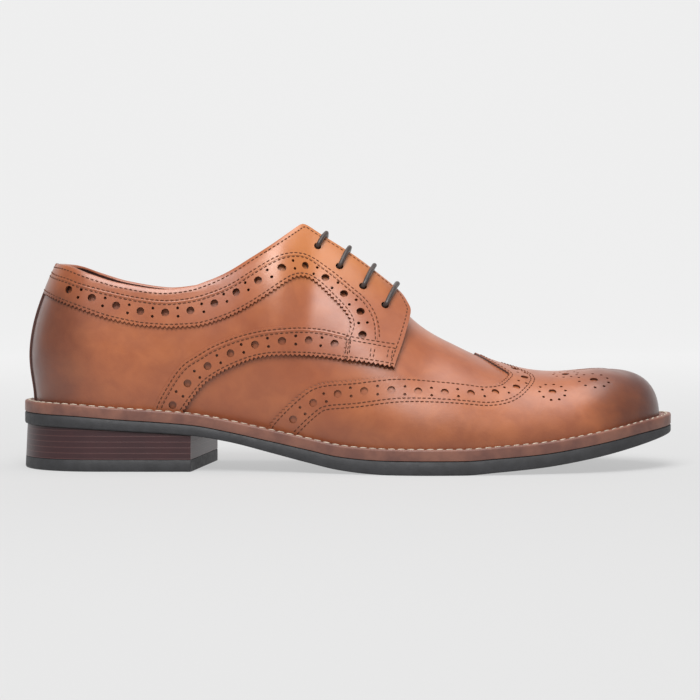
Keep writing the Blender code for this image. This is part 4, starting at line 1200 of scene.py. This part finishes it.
def skin(name, ts, low, high, rows, inner, outer, material):
    """A sheet between two lines on the last, one v for each t."""
    form = bmesh.new()
    form.verts.layers.int.new("mark")
    form.verts.layers.float.new("edge_dark_and_shade")
    mark, shade = form.verts.layers.int["mark"], form.verts.layers.float["edge_dark_and_shade"]
    columns = len(ts) - 1
    bmesh.ops.create_grid(form, x_segments=columns, y_segments=rows, size=0.5)
    flat = np.array([vert.co[:] for vert in form.verts])
    j = np.rint((flat[:, 0] + 0.5) * columns).astype(int)
    share = flat[:, 1] + 0.5
    t, v = ts[j], low[j] + (high[j] - low[j]) * share
    under, over = on_last(t, v, inner(t, v)), on_last(t, v, outer(t, v))
    for number, (vert, place) in enumerate(zip(form.verts, under)):
        vert.co = place
        vert[mark] = number
    bmesh.ops.remove_doubles(form, verts=form.verts[:], dist=2e-6)
    made = bmesh.ops.extrude_face_region(form, geom=form.faces[:], use_keep_orig=True)
    raised = {item for item in made["geom"] if isinstance(item, bmesh.types.BMVert)}
    # Underside and cut walls are marked 1 and darkened by the leather material: partly the cut edge's colour,
    # partly painted shade.
    for vert in form.verts:
        vert[shade] = 0.0 if vert in raised else 1.0
    for vert in raised:
        vert.co = over[vert[mark]]
    bmesh.ops.recalc_face_normals(form, faces=form.faces[:])
    mesh = bpy.data.meshes.new(name)
    form.to_mesh(mesh)
    form.free()
    thing = link_mesh(name, mesh, material)
    mesh.set_sharp_from_angle(angle=math.radians(50))
    return thing


def side_word(side):
    return "lateral" if side == LATERAL else "medial"


def back_station():
    return HEEL_TURN * (0.010 / 2 + CLEAR / 2) / (HEEL_ROUND * math.pi / 2)


def gimp_side(side, t, v, inward):
    """Gimp a line that runs towards the toe. inward: 1 if the panel lies above it."""
    return gimped(t, v, -side * inward)


def backwards(line):
    return line[0][::-1], line[1][::-1]


def offset_line(side, t, v, distance, pitch=0.0015):
    """A line this far above one that runs towards the toe (below if negative)."""
    t, v = resample(t, v, 0.0, pitch)
    points = last_point(t, v)
    run = np.gradient(points, axis=0)
    run /= np.linalg.norm(run, axis=1, keepdims=True)
    for _ in range(3):
        run[1:-1] = (run[:-2] + run[1:-1] * 2 + run[2:]) / 4
        run /= np.linalg.norm(run, axis=1, keepdims=True)
    upward = np.cross(last_normal(t, v), run) * -side
    reach = np.reshape(distance(spine_along(t)) if callable(distance) else distance, (-1, 1))
    for _ in range(4):
        t, v = walk(t, v, upward * reach / 4)
    own_side = t * side > 0
    return t[own_side], v[own_side]


class Thread:
    """Stitches of one thread, one small pill each, joined in one mesh."""

    def __init__(self, name, material, slot):
        self.name, self.material, self.slot = name, material, slot
        self.places = []
        pill = bmesh.new()
        bmesh.ops.create_uvsphere(pill, u_segments=6, v_segments=4, radius=0.5)
        pill.verts.index_update()
        self.pill = np.array([vert.co[:] for vert in pill.verts])[:, [2, 0, 1]]
        self.faces = [[vert.index for vert in face.verts] for face in pill.faces]
        pill.free()

    def stitch(self, centre, run, up, length, width, height):
        across = np.cross(up, run)
        self.places.append(centre + self.pill @ np.stack([run * length, across * width, up * height]))

    def row(self, t, v, face, pitch=STITCH_PITCH, length=STITCH_LENGTH, width=STITCH_WIDTH):
        t, v = resample(t, v, 0.0015, pitch / 2)
        points = on_last(t, v, face(t, v))
        run = np.gradient(points, axis=0)
        run /= np.maximum(np.linalg.norm(run, axis=1, keepdims=True), 1e-9)
        normal = face_normals(t, v, face)
        for k in range(1, len(t) - 1, 2):
            up = normal[k] - run[k] * (normal[k] @ run[k])
            up /= np.linalg.norm(up)
            self.stitch(points[k] + up * 0.00002, run[k], up, length, width, width * 0.8)

    def finish(self):
        count = len(self.pill)
        faces = [[corner + k * count for corner in face]
                 for k in range(len(self.places)) for face in self.faces]
        mesh = bpy.data.meshes.new(self.name)
        mesh.from_pydata(np.concatenate(self.places).tolist(), [], faces)
        thing = link_mesh(self.name, mesh, self.material)
        return keep(thing, self.slot)


def bead(name, t, v, face, material, radius=0.00055):
    """Raised ridge of leather between two rows of stitches."""
    t, v = resample(t, v, 0.0, 0.0016)
    points = on_last(t, v, face(t, v))
    run = np.gradient(points, axis=0)
    run /= np.linalg.norm(run, axis=1, keepdims=True)
    up = face_normals(t, v, face)
    across = np.cross(up, run)
    sides = 8
    ease = np.sqrt(np.clip(np.minimum(np.arange(len(t)), len(t) - 1 - np.arange(len(t))) / 4, 0.05, 1))
    table = np.zeros((len(t), sides, 3))
    for k in range(sides):
        angle = 2 * math.pi * k / sides
        table[:, k] = (points + across * (math.cos(angle) * radius * ease)[:, None]
                       + up * ((math.sin(angle) * 0.55 - 0.15) * radius * ease)[:, None])
    ridge = place_grid(name, len(t) - 1, sides, lambda i, j: table[i, j], material, wrap_columns=True)
    close_ends(ridge)
    return keep(ridge, "tan_leather")


def spot_at_level(side, along, level):
    """t and v of the wall point at this share of the length and height above the seat."""
    t = np.atleast_1d(station(along)) * side
    return t, level_v(t, lambda where: np.atleast_1d(level))


def level_row(side, rows, count=30):
    """A smooth line through (along, height) rows."""
    rows = np.array(rows)
    where = np.linspace(0, len(rows) - 1, count)
    places = np.arange(len(rows))
    return spot_at_level(side, np.interp(where, places, rows[:, 0]), np.interp(where, places, rows[:, 1]))


def soften(line, rounds=6):
    """Round off the kinks of a line whose points are evenly spaced."""
    t, v = resample(*line, 0.0, 0.0008)
    for _ in range(rounds):
        t[1:-1] = (t[:-2] + t[1:-1] * 2 + t[2:]) / 4
        v[1:-1] = (v[:-2] + v[1:-1] * 2 + v[2:]) / 4
    return t, v


def join_lines(*lines):
    return np.concatenate([line[0] for line in lines]), np.concatenate([line[1] for line in lines])


# The upper and its panels.

def make_upper(tan, lining):
    """Vamp and quarters: one wall, open at the collar and the throat."""
    throat = float(station(VAMP_THROAT))
    fine = np.linspace(-1, 1, 421)
    marks = np.array([throat, throat - 0.002, throat - 0.006, throat - 0.012])
    ts = np.unique(np.round(np.concatenate([fine, marks, -marks]), 7))

    def edge(t):
        behind = (VAMP_THROAT - spine_along(t)) / VAMP_THROAT_ROUND
        opening = 1 - (1 - np.clip(behind, 0, 1))**2
        rim = opening_v(t, VAMP_THROAT_HALF_WIDTH * np.sqrt(np.maximum(opening, 0)))
        return np.where(np.abs(t) >= throat, 1.0, rim)

    upper = skin("upper_vamp", ts, np.zeros_like(ts), edge(ts), 44,
                 lambda t, v: np.full_like(t, -UPPER_WALL), lambda t, v: np.zeros_like(t), tan)
    upper.data.materials.append(lining)
    edge_dark_and_shade = np.zeros(len(upper.data.vertices))
    upper.data.attributes["edge_dark_and_shade"].data.foreach_get("value", edge_dark_and_shade)
    for polygon in upper.data.polygons:
        if all(edge_dark_and_shade[c] > 0.5 for c in polygon.vertices):
            polygon.material_index = 1
    upper.data.attributes["edge_dark_and_shade"].data.foreach_set("value", np.zeros(len(edge_dark_and_shade)))
    keep(upper, "tan_leather", "upper")


def make_tongue(material):
    first, last = float(station(TONGUE_TOP)), float(station(TONGUE_FOOT))
    at = np.linspace(first, last, 70)
    form_t, form_low = [], []
    for side in (LATERAL, MEDIAL):
        ts = at * side
        low = reach_v(ts, np.full_like(ts, TONGUE_HALF_WIDTH))
        form_t.append(ts)
        form_low.append(low)
    pieces = []
    for side, ts, low in zip((LATERAL, MEDIAL), form_t, form_low):
        pieces.append((ts, low))
    form = bmesh.new()
    rows, columns = 40, len(at) - 1
    bmesh.ops.create_grid(form, x_segments=columns, y_segments=rows, size=0.5)
    flat = np.array([vert.co[:] for vert in form.verts])
    j = np.rint((flat[:, 0] + 0.5) * columns).astype(int)
    across = flat[:, 1] * 2
    left = across < 0
    t = np.where(left, -at[j], at[j])
    low = np.where(left, pieces[0][1][j], pieces[1][1][j])
    v = 1 - (1 - low) * np.abs(across)
    top = -UPPER_WALL - 0.0006
    places = on_last(t, v, np.full_like(t, top - TONGUE_THICK / 2))
    for vert, place in zip(form.verts, places):
        vert.co = place
    bmesh.ops.recalc_face_normals(form, faces=form.faces[:])
    mesh = bpy.data.meshes.new("tongue_leather")
    form.to_mesh(mesh)
    form.free()
    tongue = link_mesh("tongue_leather", mesh, material)
    thick = tongue.modifiers.new("thickness", "SOLIDIFY")
    thick.thickness = TONGUE_THICK
    thick.offset = 0
    keep(tongue, "brown_leather", "tongue")


SEAM_HALF_GAP = 0.0009


def back_seam_level(along):
    """Height of the band's double seam at the back strip."""
    return np.full_like(along, 0.640)


def band_lines(side):
    """The collar band's lines: its edge with the turn, the tab's foot, and the rim with the nose."""
    first = back_station()
    front = seen_line(side, BAND_EDGE_SEEN, band_face)
    back = line_along(side, first, abs(front[0][0]) - 0.006, lambda t: level_v(t, BAND_LINE))
    edge = soften(join_lines(back, front), 10)
    foot = seen_line(side, TAB_FOOT_SEEN, band_face)
    corner = float(station(FACING_TOP_CORNER))
    collar = line_along(side, first, corner, opening_v)
    top = line_along(side, corner, float(station(0.558)), facing_edge_v, 200)
    turn = np.array(NOSE_CORNER)
    turn_t = station(turn[:, 0]) * side
    nose_at, nose_v = seen_on_last(through(NOSE_SEEN), band_face)
    nose_reach = reach_of(-nose_at, nose_v)
    nose_t = np.concatenate([turn_t, nose_at * side])
    nose = nose_t, reach_v(nose_t, np.concatenate([turn[:, 1], nose_reach]))
    rim = soften(join_lines(collar, soften(join_lines(top, nose), 10)), 14)
    return edge, foot, rim


def band_face(t, v):
    """The band's outer face: thinner where it turns over the collar's rim."""
    t, v = np.asarray(t, float), np.asarray(v, float)
    collar = np.clip((FACING_TOP_CORNER - spine_along(t)) / 0.03, 0, 1)
    from_rim = np.clip((level_v(t, RIM_LINE) - v) / RIM_TAPER, 0, 1)
    thin = (1 - from_rim)**2 * collar
    return BAND_FACE - (BAND_FACE - RIM_FACE) * thin + facing_lift(t, v)


def spread_holes(line, count):
    """Large holes spread evenly on a line, with a pair of small ones between each two."""
    spots = last_point(*line)
    length = np.linalg.norm(np.diff(spots, axis=0), axis=1).sum()
    t, v = resample(*line, 0.0, length / (2 * count - 2))
    run = np.gradient(last_point(t, v), axis=0)
    run /= np.linalg.norm(run, axis=1, keepdims=True)
    across = np.cross(last_normal(t, v), run)
    holes = []
    for k in range(len(t)):
        if k % 2 == 0:
            holes.append((float(t[k]), float(v[k]), BIG_PUNCH))
            continue
        for way in (-1, 1):
            small_t, small_v = walk(t[k:k + 1], v[k:k + 1], across[k:k + 1] * way * SMALL_PAIR)
            holes.append((float(small_t[0]), float(small_v[0]), SMALL_PUNCH))
    return holes


def make_collar_band(side, material, thread):
    edge, foot, rim = band_lines(side)
    word = side_word(side)
    outline = chain(
        gimp_side(side, *edge, 1), gimp_side(side, *foot, 1), backwards(resample(*rim, 0.0, 0.0013)),
        upright(side, back_station(), rim[1][0], edge[1][0], 24))
    holes = spread_holes(seen_line(side, BAND_HOLES_SEEN, band_face), BAND_HOLES)
    for at, v in lace_holes(side):
        holes.append((at * side, v, EYELET_BORE))
    first, last = back_station() - 0.01, float(station(FACING_FRONT_TOP)) + 0.02
    band = cut_panel("collar_band_leather_" + word, outline, holes, height_face(PANEL_UNDER), band_face,
                     material, candidates=side_candidates(side, first, last))
    keep(band, "tan_leather", "collar_band_" + word)
    thread.row(*offset_line(side, *edge, 0.0018), band_face)
    seam = seen_line(side, BAND_SEAM_SEEN, band_face)
    back = np.array([back_station() * side]), level_v(np.array([back_station() * side]), back_seam_level)
    seam = soften(join_lines(back, seam), 6)
    for distance in (-SEAM_HALF_GAP, SEAM_HALF_GAP):
        thread.row(*offset_line(side, *seam, distance), band_face)
    bead("collar_bead_" + word, *seam, band_face, material)
    thread.row(*offset_line(side, *foot, 0.0018), band_face)
    thread.row(*offset_line(side, *rim, -0.0019), band_face)
    for places in TAB_SEAMS_SEEN:
        thread.row(*seen_line(side, places, band_face), band_face)


def make_quarter(side, material):
    first = back_station()
    last = float(station(0.512))
    hidden = 0.02

    def low(t):
        return np.maximum(welt_v(t), level_v(t, STRAP_TOP_LINE) - hidden)

    def high(t):
        return level_v(t, BAND_LINE) + hidden

    at = np.linspace(first, last, 190)
    ts = at * side
    sheet = skin("quarter_leather_" + side_word(side), ts, low(ts), high(ts), 36,
                 height_face(PANEL_UNDER), height_face(QUARTER_FACE), material)
    keep(sheet, "tan_leather", "quarter_" + side_word(side))


def strap_edge(side, places, face, last):
    """One long edge of the strap: it rises from the welt and runs on under the tab."""
    at, levels = seen_levels(through(places), face)
    at, levels = np.append(at, last), np.append(levels, levels[-1])
    t = at * side
    return t, np.maximum(level_v(t, lambda where: levels), welt_v(t))


def strap_lines(side, face):
    last = float(station(TAB_BACK)) + 0.008
    top = strap_edge(side, STRAP_TOP_SEEN, face, last)
    foot = strap_edge(side, STRAP_FOOT_SEEN, face, last)
    on_welt = line_along(side, abs(top[0][0]), abs(foot[0][0]), welt_v, 60)
    return top, foot, on_welt


def make_strap(side, material, thread):
    face = height_face(STRAP_FACE)
    top, foot, on_welt = strap_lines(side, face)
    clear_of_welt = foot[1] > welt_v(foot[0]) + 1e-4
    bottom = (foot[0][clear_of_welt], foot[1][clear_of_welt])
    resting = chain(on_welt, (foot[0][~clear_of_welt], foot[1][~clear_of_welt]))
    outline = chain(
        resample(*resting, 0.0, 0.0015), gimp_side(side, *bottom, 1),
        upright(side, foot[0][-1] * side, foot[1][-1], top[1][-1], 14),
        backwards(resample(*top, 0.0, 0.0014)))
    holes = spread_holes(seen_line(side, STRAP_HOLES_SEEN, face), STRAP_HOLES)
    strap = cut_panel("strap_leather_" + side_word(side), outline, holes, height_face(PANEL_UNDER), face,
                      material, candidates=side_candidates(side, 0.15, 0.62))
    keep(strap, "tan_leather", "strap_" + side_word(side))
    thread.row(*offset_line(side, *bottom, 0.0018), face)
    for distance in (-0.0011, -0.0031):
        thread.row(*offset_line(side, *top, distance), face)
    bead("strap_bead_" + side_word(side), *offset_line(side, *top, -0.0021), face, material)


def medallion(face):
    """A generic toe rosette: three large holes each side, ringed by small ones."""
    holes = []
    at, heights = seen_on_last(ROSETTE_SEEN, face)
    for place, v, ring in zip(at, heights, ROSETTE_RINGS):
        for side in (LATERAL, MEDIAL):
            holes.append((float(place) * side, float(v), BIG_PUNCH))
            ring_t, ring_v = punch_ring(float(place) * side, float(v), ring, 10)
            holes += [(float(a), float(b), SMALL_PUNCH) for a, b in zip(ring_t, ring_v)]
    for number in range(MIDDLE_DOTS):
        along = (MIDDLE_DOTS_START + MIDDLE_DOTS_PITCH * number) / SHOE_LENGTH + 0.5
        holes.append((float(station(along)), 0.999, SMALL_PUNCH))
    return holes


def wing_lines(side):
    """The cap's back edge on one side: the wing, then the peak, towards the toe."""
    first = float(station(WING_EDGE[1][0] - 0.002))
    valley = float(station(WING_EDGE[-1][0]))
    peak = float(station(WING_PEAK[0][0]))
    wing = line_along(side, first, valley, lambda t: np.maximum(level_v(t, WING_LINE), welt_v(t)), 300)
    ridge = line_along(side, peak, valley, lambda t: reach_v(
        t, np.maximum(PEAK_LINE(spine_along(t)), 0) * BALL_WIDTH), 120)
    share = np.linspace(0, 1, len(ridge[0]))
    v = ridge[1] + (wing[1][-1] - ridge[1][-1]) * share**3
    v[0] = 1.0
    return wing, (ridge[0], v)


def make_wing_cap(material, thread):
    face = height_face(CAP_FACE, False)
    backs, feet, holes = {}, {}, []
    for side in (LATERAL, MEDIAL):
        wing, ridge = wing_lines(side)
        backs[side] = soften(join_lines(wing, backwards(ridge)), 14)
        foot = line_along(side, abs(wing[0][0]), 1.0, welt_v, 500)
        feet[side] = resample(*foot, 0.0, 0.0018)
        whole = backs[side]
        holes_at, holes_v = seen_on_last(through(WING_HOLES_SEEN), face)
        holes += spread_holes((holes_at * side, holes_v), WING_HOLES)
        for distance in (-0.0018, -0.0108, -0.0125):
            thread.row(*offset_line(side, *whole, distance), face)
    edges = {side: gimp_side(side, *backs[side], -1) for side in (LATERAL, MEDIAL)}
    outline = chain(feet[LATERAL], backwards(feet[MEDIAL]), edges[MEDIAL], backwards(edges[LATERAL]))
    middle = 0.004
    holes = [hole for hole in holes if reach_of(np.array(hole[0]), np.array(hole[1])) > middle]
    cap = cut_panel("wing_cap_leather", outline, holes + medallion(face), height_face(PANEL_UNDER, False), face,
                    material, flat=crown_flat, candidates=crown_candidates(0.34))
    keep(cap, "brown_leather", "wing_cap")


def make_back_strip(material):
    at = back_station() - 0.0002
    ts = np.linspace(-at, at, 13)
    strip = skin("back_strip_leather", ts, welt_v(ts), opening_v(ts), 60, height_face(PANEL_UNDER, False),
                 height_face(BACK_FACE, False), material)
    keep(strip, "brown_leather", "back_strip")


def make_collar_roll(material):
    """Soft turned edge that covers the rim of wall and band."""
    corner = float(station(FACING_TOP_CORNER))
    ts = np.linspace(-corner, corner, 360)
    v = opening_v(ts)
    centre = on_last(ts, v, np.full_like(ts, -0.0003))
    normal = last_normal(ts, v)
    run = np.gradient(centre, axis=0)
    run /= np.linalg.norm(run, axis=1, keepdims=True)
    up = np.cross(normal, run)
    up *= np.sign(up[:, 2:3])
    sides = 14
    ease = np.sqrt(np.clip(np.minimum(np.arange(360), 359 - np.arange(360)) / 5.0, 0.02, 1))
    table = np.zeros((360, sides, 3))
    for k in range(sides):
        angle = 2 * math.pi * k / sides
        table[:, k] = (centre + normal * (math.cos(angle) * 0.0012 * ease)[:, None]
                       + up * (math.sin(angle) * 0.0006 * ease)[:, None])
    roll = place_grid("collar_roll", 359, sides, lambda i, j: table[i, j], material, wrap_columns=True)
    close_ends(roll)
    keep(roll, "tan_leather")


def close_ends(thing):
    form = bmesh.new()
    form.from_mesh(thing.data)
    rim = [edge for edge in form.edges if edge.is_boundary]
    bmesh.ops.holes_fill(form, edges=rim, sides=0)
    bmesh.ops.recalc_face_normals(form, faces=form.faces[:])
    form.to_mesh(thing.data)
    form.free()


# Lacing.

def lace_holes(side):
    """Station and v of each lace hole, from the top one down."""
    at, v = seen_on_last(LACE_HOLES_SEEN, band_face)
    reaches = reach_of(-at, v)
    return [(float(a), float(b)) for a, b in zip(at, reach_v(at * side, reaches))]


def facing_spot(side, at, v, height):
    t, v = np.array([at * side]), np.array([v])
    return on_last(t, v, height + facing_lift(t, v))[0]


def make_laces(material):
    """One waxed lace: up an eyelet, straight across, down the far one, on to the next pair."""
    half = LACE_DIAMETER / 2
    over = PANEL_CLEAR + FACING_THICK + CLEAR + half
    under = PANEL_CLEAR - CLEAR - half
    holes = {side: lace_holes(side) for side in (LATERAL, MEDIAL)}
    path = []
    side = LATERAL

    def climb(which, place):
        at, v = place
        points = []
        for share, extra in ((0.0, 0.0), (0.25, 0.10), (0.6, 0.12), (1.0, 0.05)):
            ahead = at + LACE_LEAN * share
            edge = float(facing_edge_v(np.array([ahead * which]))[0]) + 0.01
            points.append(facing_spot(which, ahead, v + (edge - v) * share, over + LACE_DIAMETER * extra))
        return points

    for pair in range(len(LACE_HOLES_SEEN)):
        near, far = holes[side][pair], holes[-side][pair]
        up_part, down_part = climb(side, near), climb(-side, far)[::-1]
        path.append(facing_spot(side, *near, under))
        path += up_part
        path.append((up_part[-1] + down_part[0]) / 2 + np.array([0, 0, LACE_DIAMETER * 0.15]))
        path += down_part
        path.append(facing_spot(-side, *far, under))
        side = -side
    path = np.array(path)
    steps = np.concatenate([[0], np.cumsum(np.linalg.norm(np.diff(path, axis=0), axis=1))])
    fine = np.arange(0, steps[-1], 0.0007)
    smooth = np.stack([np.interp(fine, steps, path[:, k]) for k in range(3)], 1)
    for _ in range(3):
        smooth[1:-1] = (smooth[:-2] + smooth[1:-1] * 2 + smooth[2:]) / 4
    run = np.gradient(smooth, axis=0)
    run /= np.linalg.norm(run, axis=1, keepdims=True)
    normal = np.cross(run[0], [0, 0, 1.0])
    sides = 12
    table = np.zeros((len(smooth), sides, 3))
    for i, (point, way) in enumerate(zip(smooth, run)):
        normal = normal - way * (normal @ way)
        normal /= np.linalg.norm(normal)
        other = np.cross(way, normal)
        for k in range(sides):
            angle = 2 * math.pi * k / sides
            table[i, k] = point + (normal * math.cos(angle) + other * math.sin(angle)) * half
    lace = place_grid("waxed_lace", len(smooth) - 1, sides, lambda i, j: table[i, j], material,
                      wrap_columns=True)
    close_ends(lace)
    keep(lace, "dark_cord", "laces")


def stitch_welt(thread):
    """Slanting stitches in a row round the top of the welt."""
    loop = 2400
    t = np.linspace(-1, 1, loop)
    row = look_up(t)
    foot = np.maximum(row[:, 5], wall_of(row, welt_v(t, 0.0))[0])
    reach = foot + (row[:, 4] - foot) * 0.66
    x = row[:, 0] + row[:, 2] * reach
    points = np.stack([x, row[:, 1] + row[:, 3] * reach, welt_top(x)], -1)
    length = np.concatenate([[0], np.cumsum(np.linalg.norm(np.diff(points, axis=0), axis=1))])
    count = int(length[-1] / 0.0044)
    for k in range(count):
        here = length[-1] * (k + 0.5) / count
        spot = np.array([np.interp(here, length, points[:, a]) for a in range(3)])
        ahead = np.array([np.interp(here + 0.001, length, points[:, a]) for a in range(3)])
        run = (ahead - spot) / max(np.linalg.norm(ahead - spot), 1e-9)
        up = np.array([0, 0, 1.0]) - run * run[2]
        up /= np.linalg.norm(up)
        across = np.cross(up, run)
        slant = run * math.cos(0.30) + across * math.sin(0.30)
        thread.stitch(spot + up * 0.00015, slant, up, 0.0036, 0.0009, 0.0007)


def make_studio():
    """Pale floor that runs up into a backdrop, soft lamps and the photograph's camera."""
    form = bmesh.new()
    bmesh.ops.create_grid(form, x_segments=8, y_segments=60, size=0.5)
    turn = 0.6
    for vert in form.verts:
        along = (vert.co.y + 0.5) * 5.0
        vert.co.x *= 8.0
        flat_part = 3.2
        angle = min(max((along - flat_part) / turn, 0), math.pi / 2)
        y = min(along, flat_part) + turn * math.sin(angle)
        z = turn * (1 - math.cos(angle)) + max(along - flat_part - turn * math.pi / 2, 0)
        vert.co.y, vert.co.z = y - 1.9, z
    mesh = bpy.data.meshes.new("floor")
    form.to_mesh(mesh)
    form.free()
    material, tree, shader = new_material("studio_paper")
    shader.inputs["Base Color"].default_value = (0.18, 0.18, 0.18, 1)
    shader.inputs["Emission Color"].default_value = (1, 1, 1, 1)
    glow = ramp(tree, place_axis(tree, 1), -0.30, 1.30, 0.47, 0.73)
    tree.links.new(glow, shader.inputs["Emission Strength"])
    shader.inputs["Roughness"].default_value = 0.9
    shader.inputs["Specular IOR Level"].default_value = 0.1
    floor = link_mesh("floor", mesh, material)
    world = bpy.data.worlds.new("studio")
    world.use_nodes = True
    world.node_tree.nodes["Background"].inputs[0].default_value = (1, 1, 1, 1)
    world.node_tree.nodes["Background"].inputs[1].default_value = 0.25
    bpy.context.scene.world = world
    for name, place, size, power in (
            ("key", (-0.15, -0.80, 1.10), 0.8, 19), ("fill", (1.0, -1.1, 0.6), 0.9, 0.8),
            ("top", (0.15, 0.05, 1.30), 1.0, 9)):
        lamp = bpy.data.lights.new(name, "AREA")
        lamp.size = size
        lamp.energy = power
        thing = bpy.data.objects.new(name, lamp)
        thing.location = place
        thing.rotation_euler = (Vector((0, 0, 0.04)) - Vector(place)).to_track_quat("-Z", "Y").to_euler()
        bpy.context.scene.collection.objects.link(thing)
    camera = bpy.data.cameras.new("camera")
    camera.sensor_width = CAMERA_SENSOR
    camera.lens = CAMERA_LENS
    camera.clip_start = 0.01
    thing = bpy.data.objects.new("camera", camera)
    thing.location = CAMERA_PLACE
    thing.rotation_euler = (math.pi / 2 - CAMERA_PITCH, 0, 0)
    bpy.context.scene.collection.objects.link(thing)
    bpy.context.scene.camera = thing
    bpy.context.scene.view_settings.view_transform = "Standard"


tan = leather("tan_calf")
cap_calf = leather("cap_calf")
strip_calf = leather("strip_calf", TAN, TAN_DEEP, BURNISH)
rubber = plain_material("sole_rubber", (0.036, 0.036, 0.039), 0.62, 900, 0.25, (0.026, 0.026, 0.028))
stack = stack_material()
welt_calf = plain_material("welt_hide", (0.235, 0.100, 0.068), 0.48, 500, 0.2, (0.145, 0.060, 0.046))
lining = plain_material("lining_calf", (0.060, 0.017, 0.014), 0.65, 700, 0.2)
tongue_calf = plain_material("tongue_calf", (0.20, 0.075, 0.035), 0.50, 500, 0.2)
cord = plain_material("waxed_cord", (0.060, 0.040, 0.034), 0.45, 1500, 0.5, (0.030, 0.020, 0.018), 0.2)
tan_thread = plain_material("tan_thread", (0.130, 0.040, 0.016), 0.85, 2000, 0.3)
cream_thread = plain_material("cream_thread", (0.62, 0.52, 0.42), 0.65, 2000, 0.3)

make_studio()
make_sole(rubber, stack, welt_calf, lining)
make_welt(welt_calf)
make_upper(tan, lining)
make_tongue(tongue_calf)
upper_stitching = Thread("upper_stitching", tan_thread, "tan_leather")
for foot_side in (LATERAL, MEDIAL):
    make_quarter(foot_side, tan)
    make_collar_band(foot_side, tan, upper_stitching)
    make_strap(foot_side, tan, upper_stitching)
make_wing_cap(cap_calf, upper_stitching)
make_back_strip(strip_calf)
make_collar_roll(tan)
upper_stitching.finish()
welt_stitching = Thread("welt_stitching", cream_thread, "welt_leather")
stitch_welt(welt_stitching)
welt_stitching.finish()
make_laces(cord)
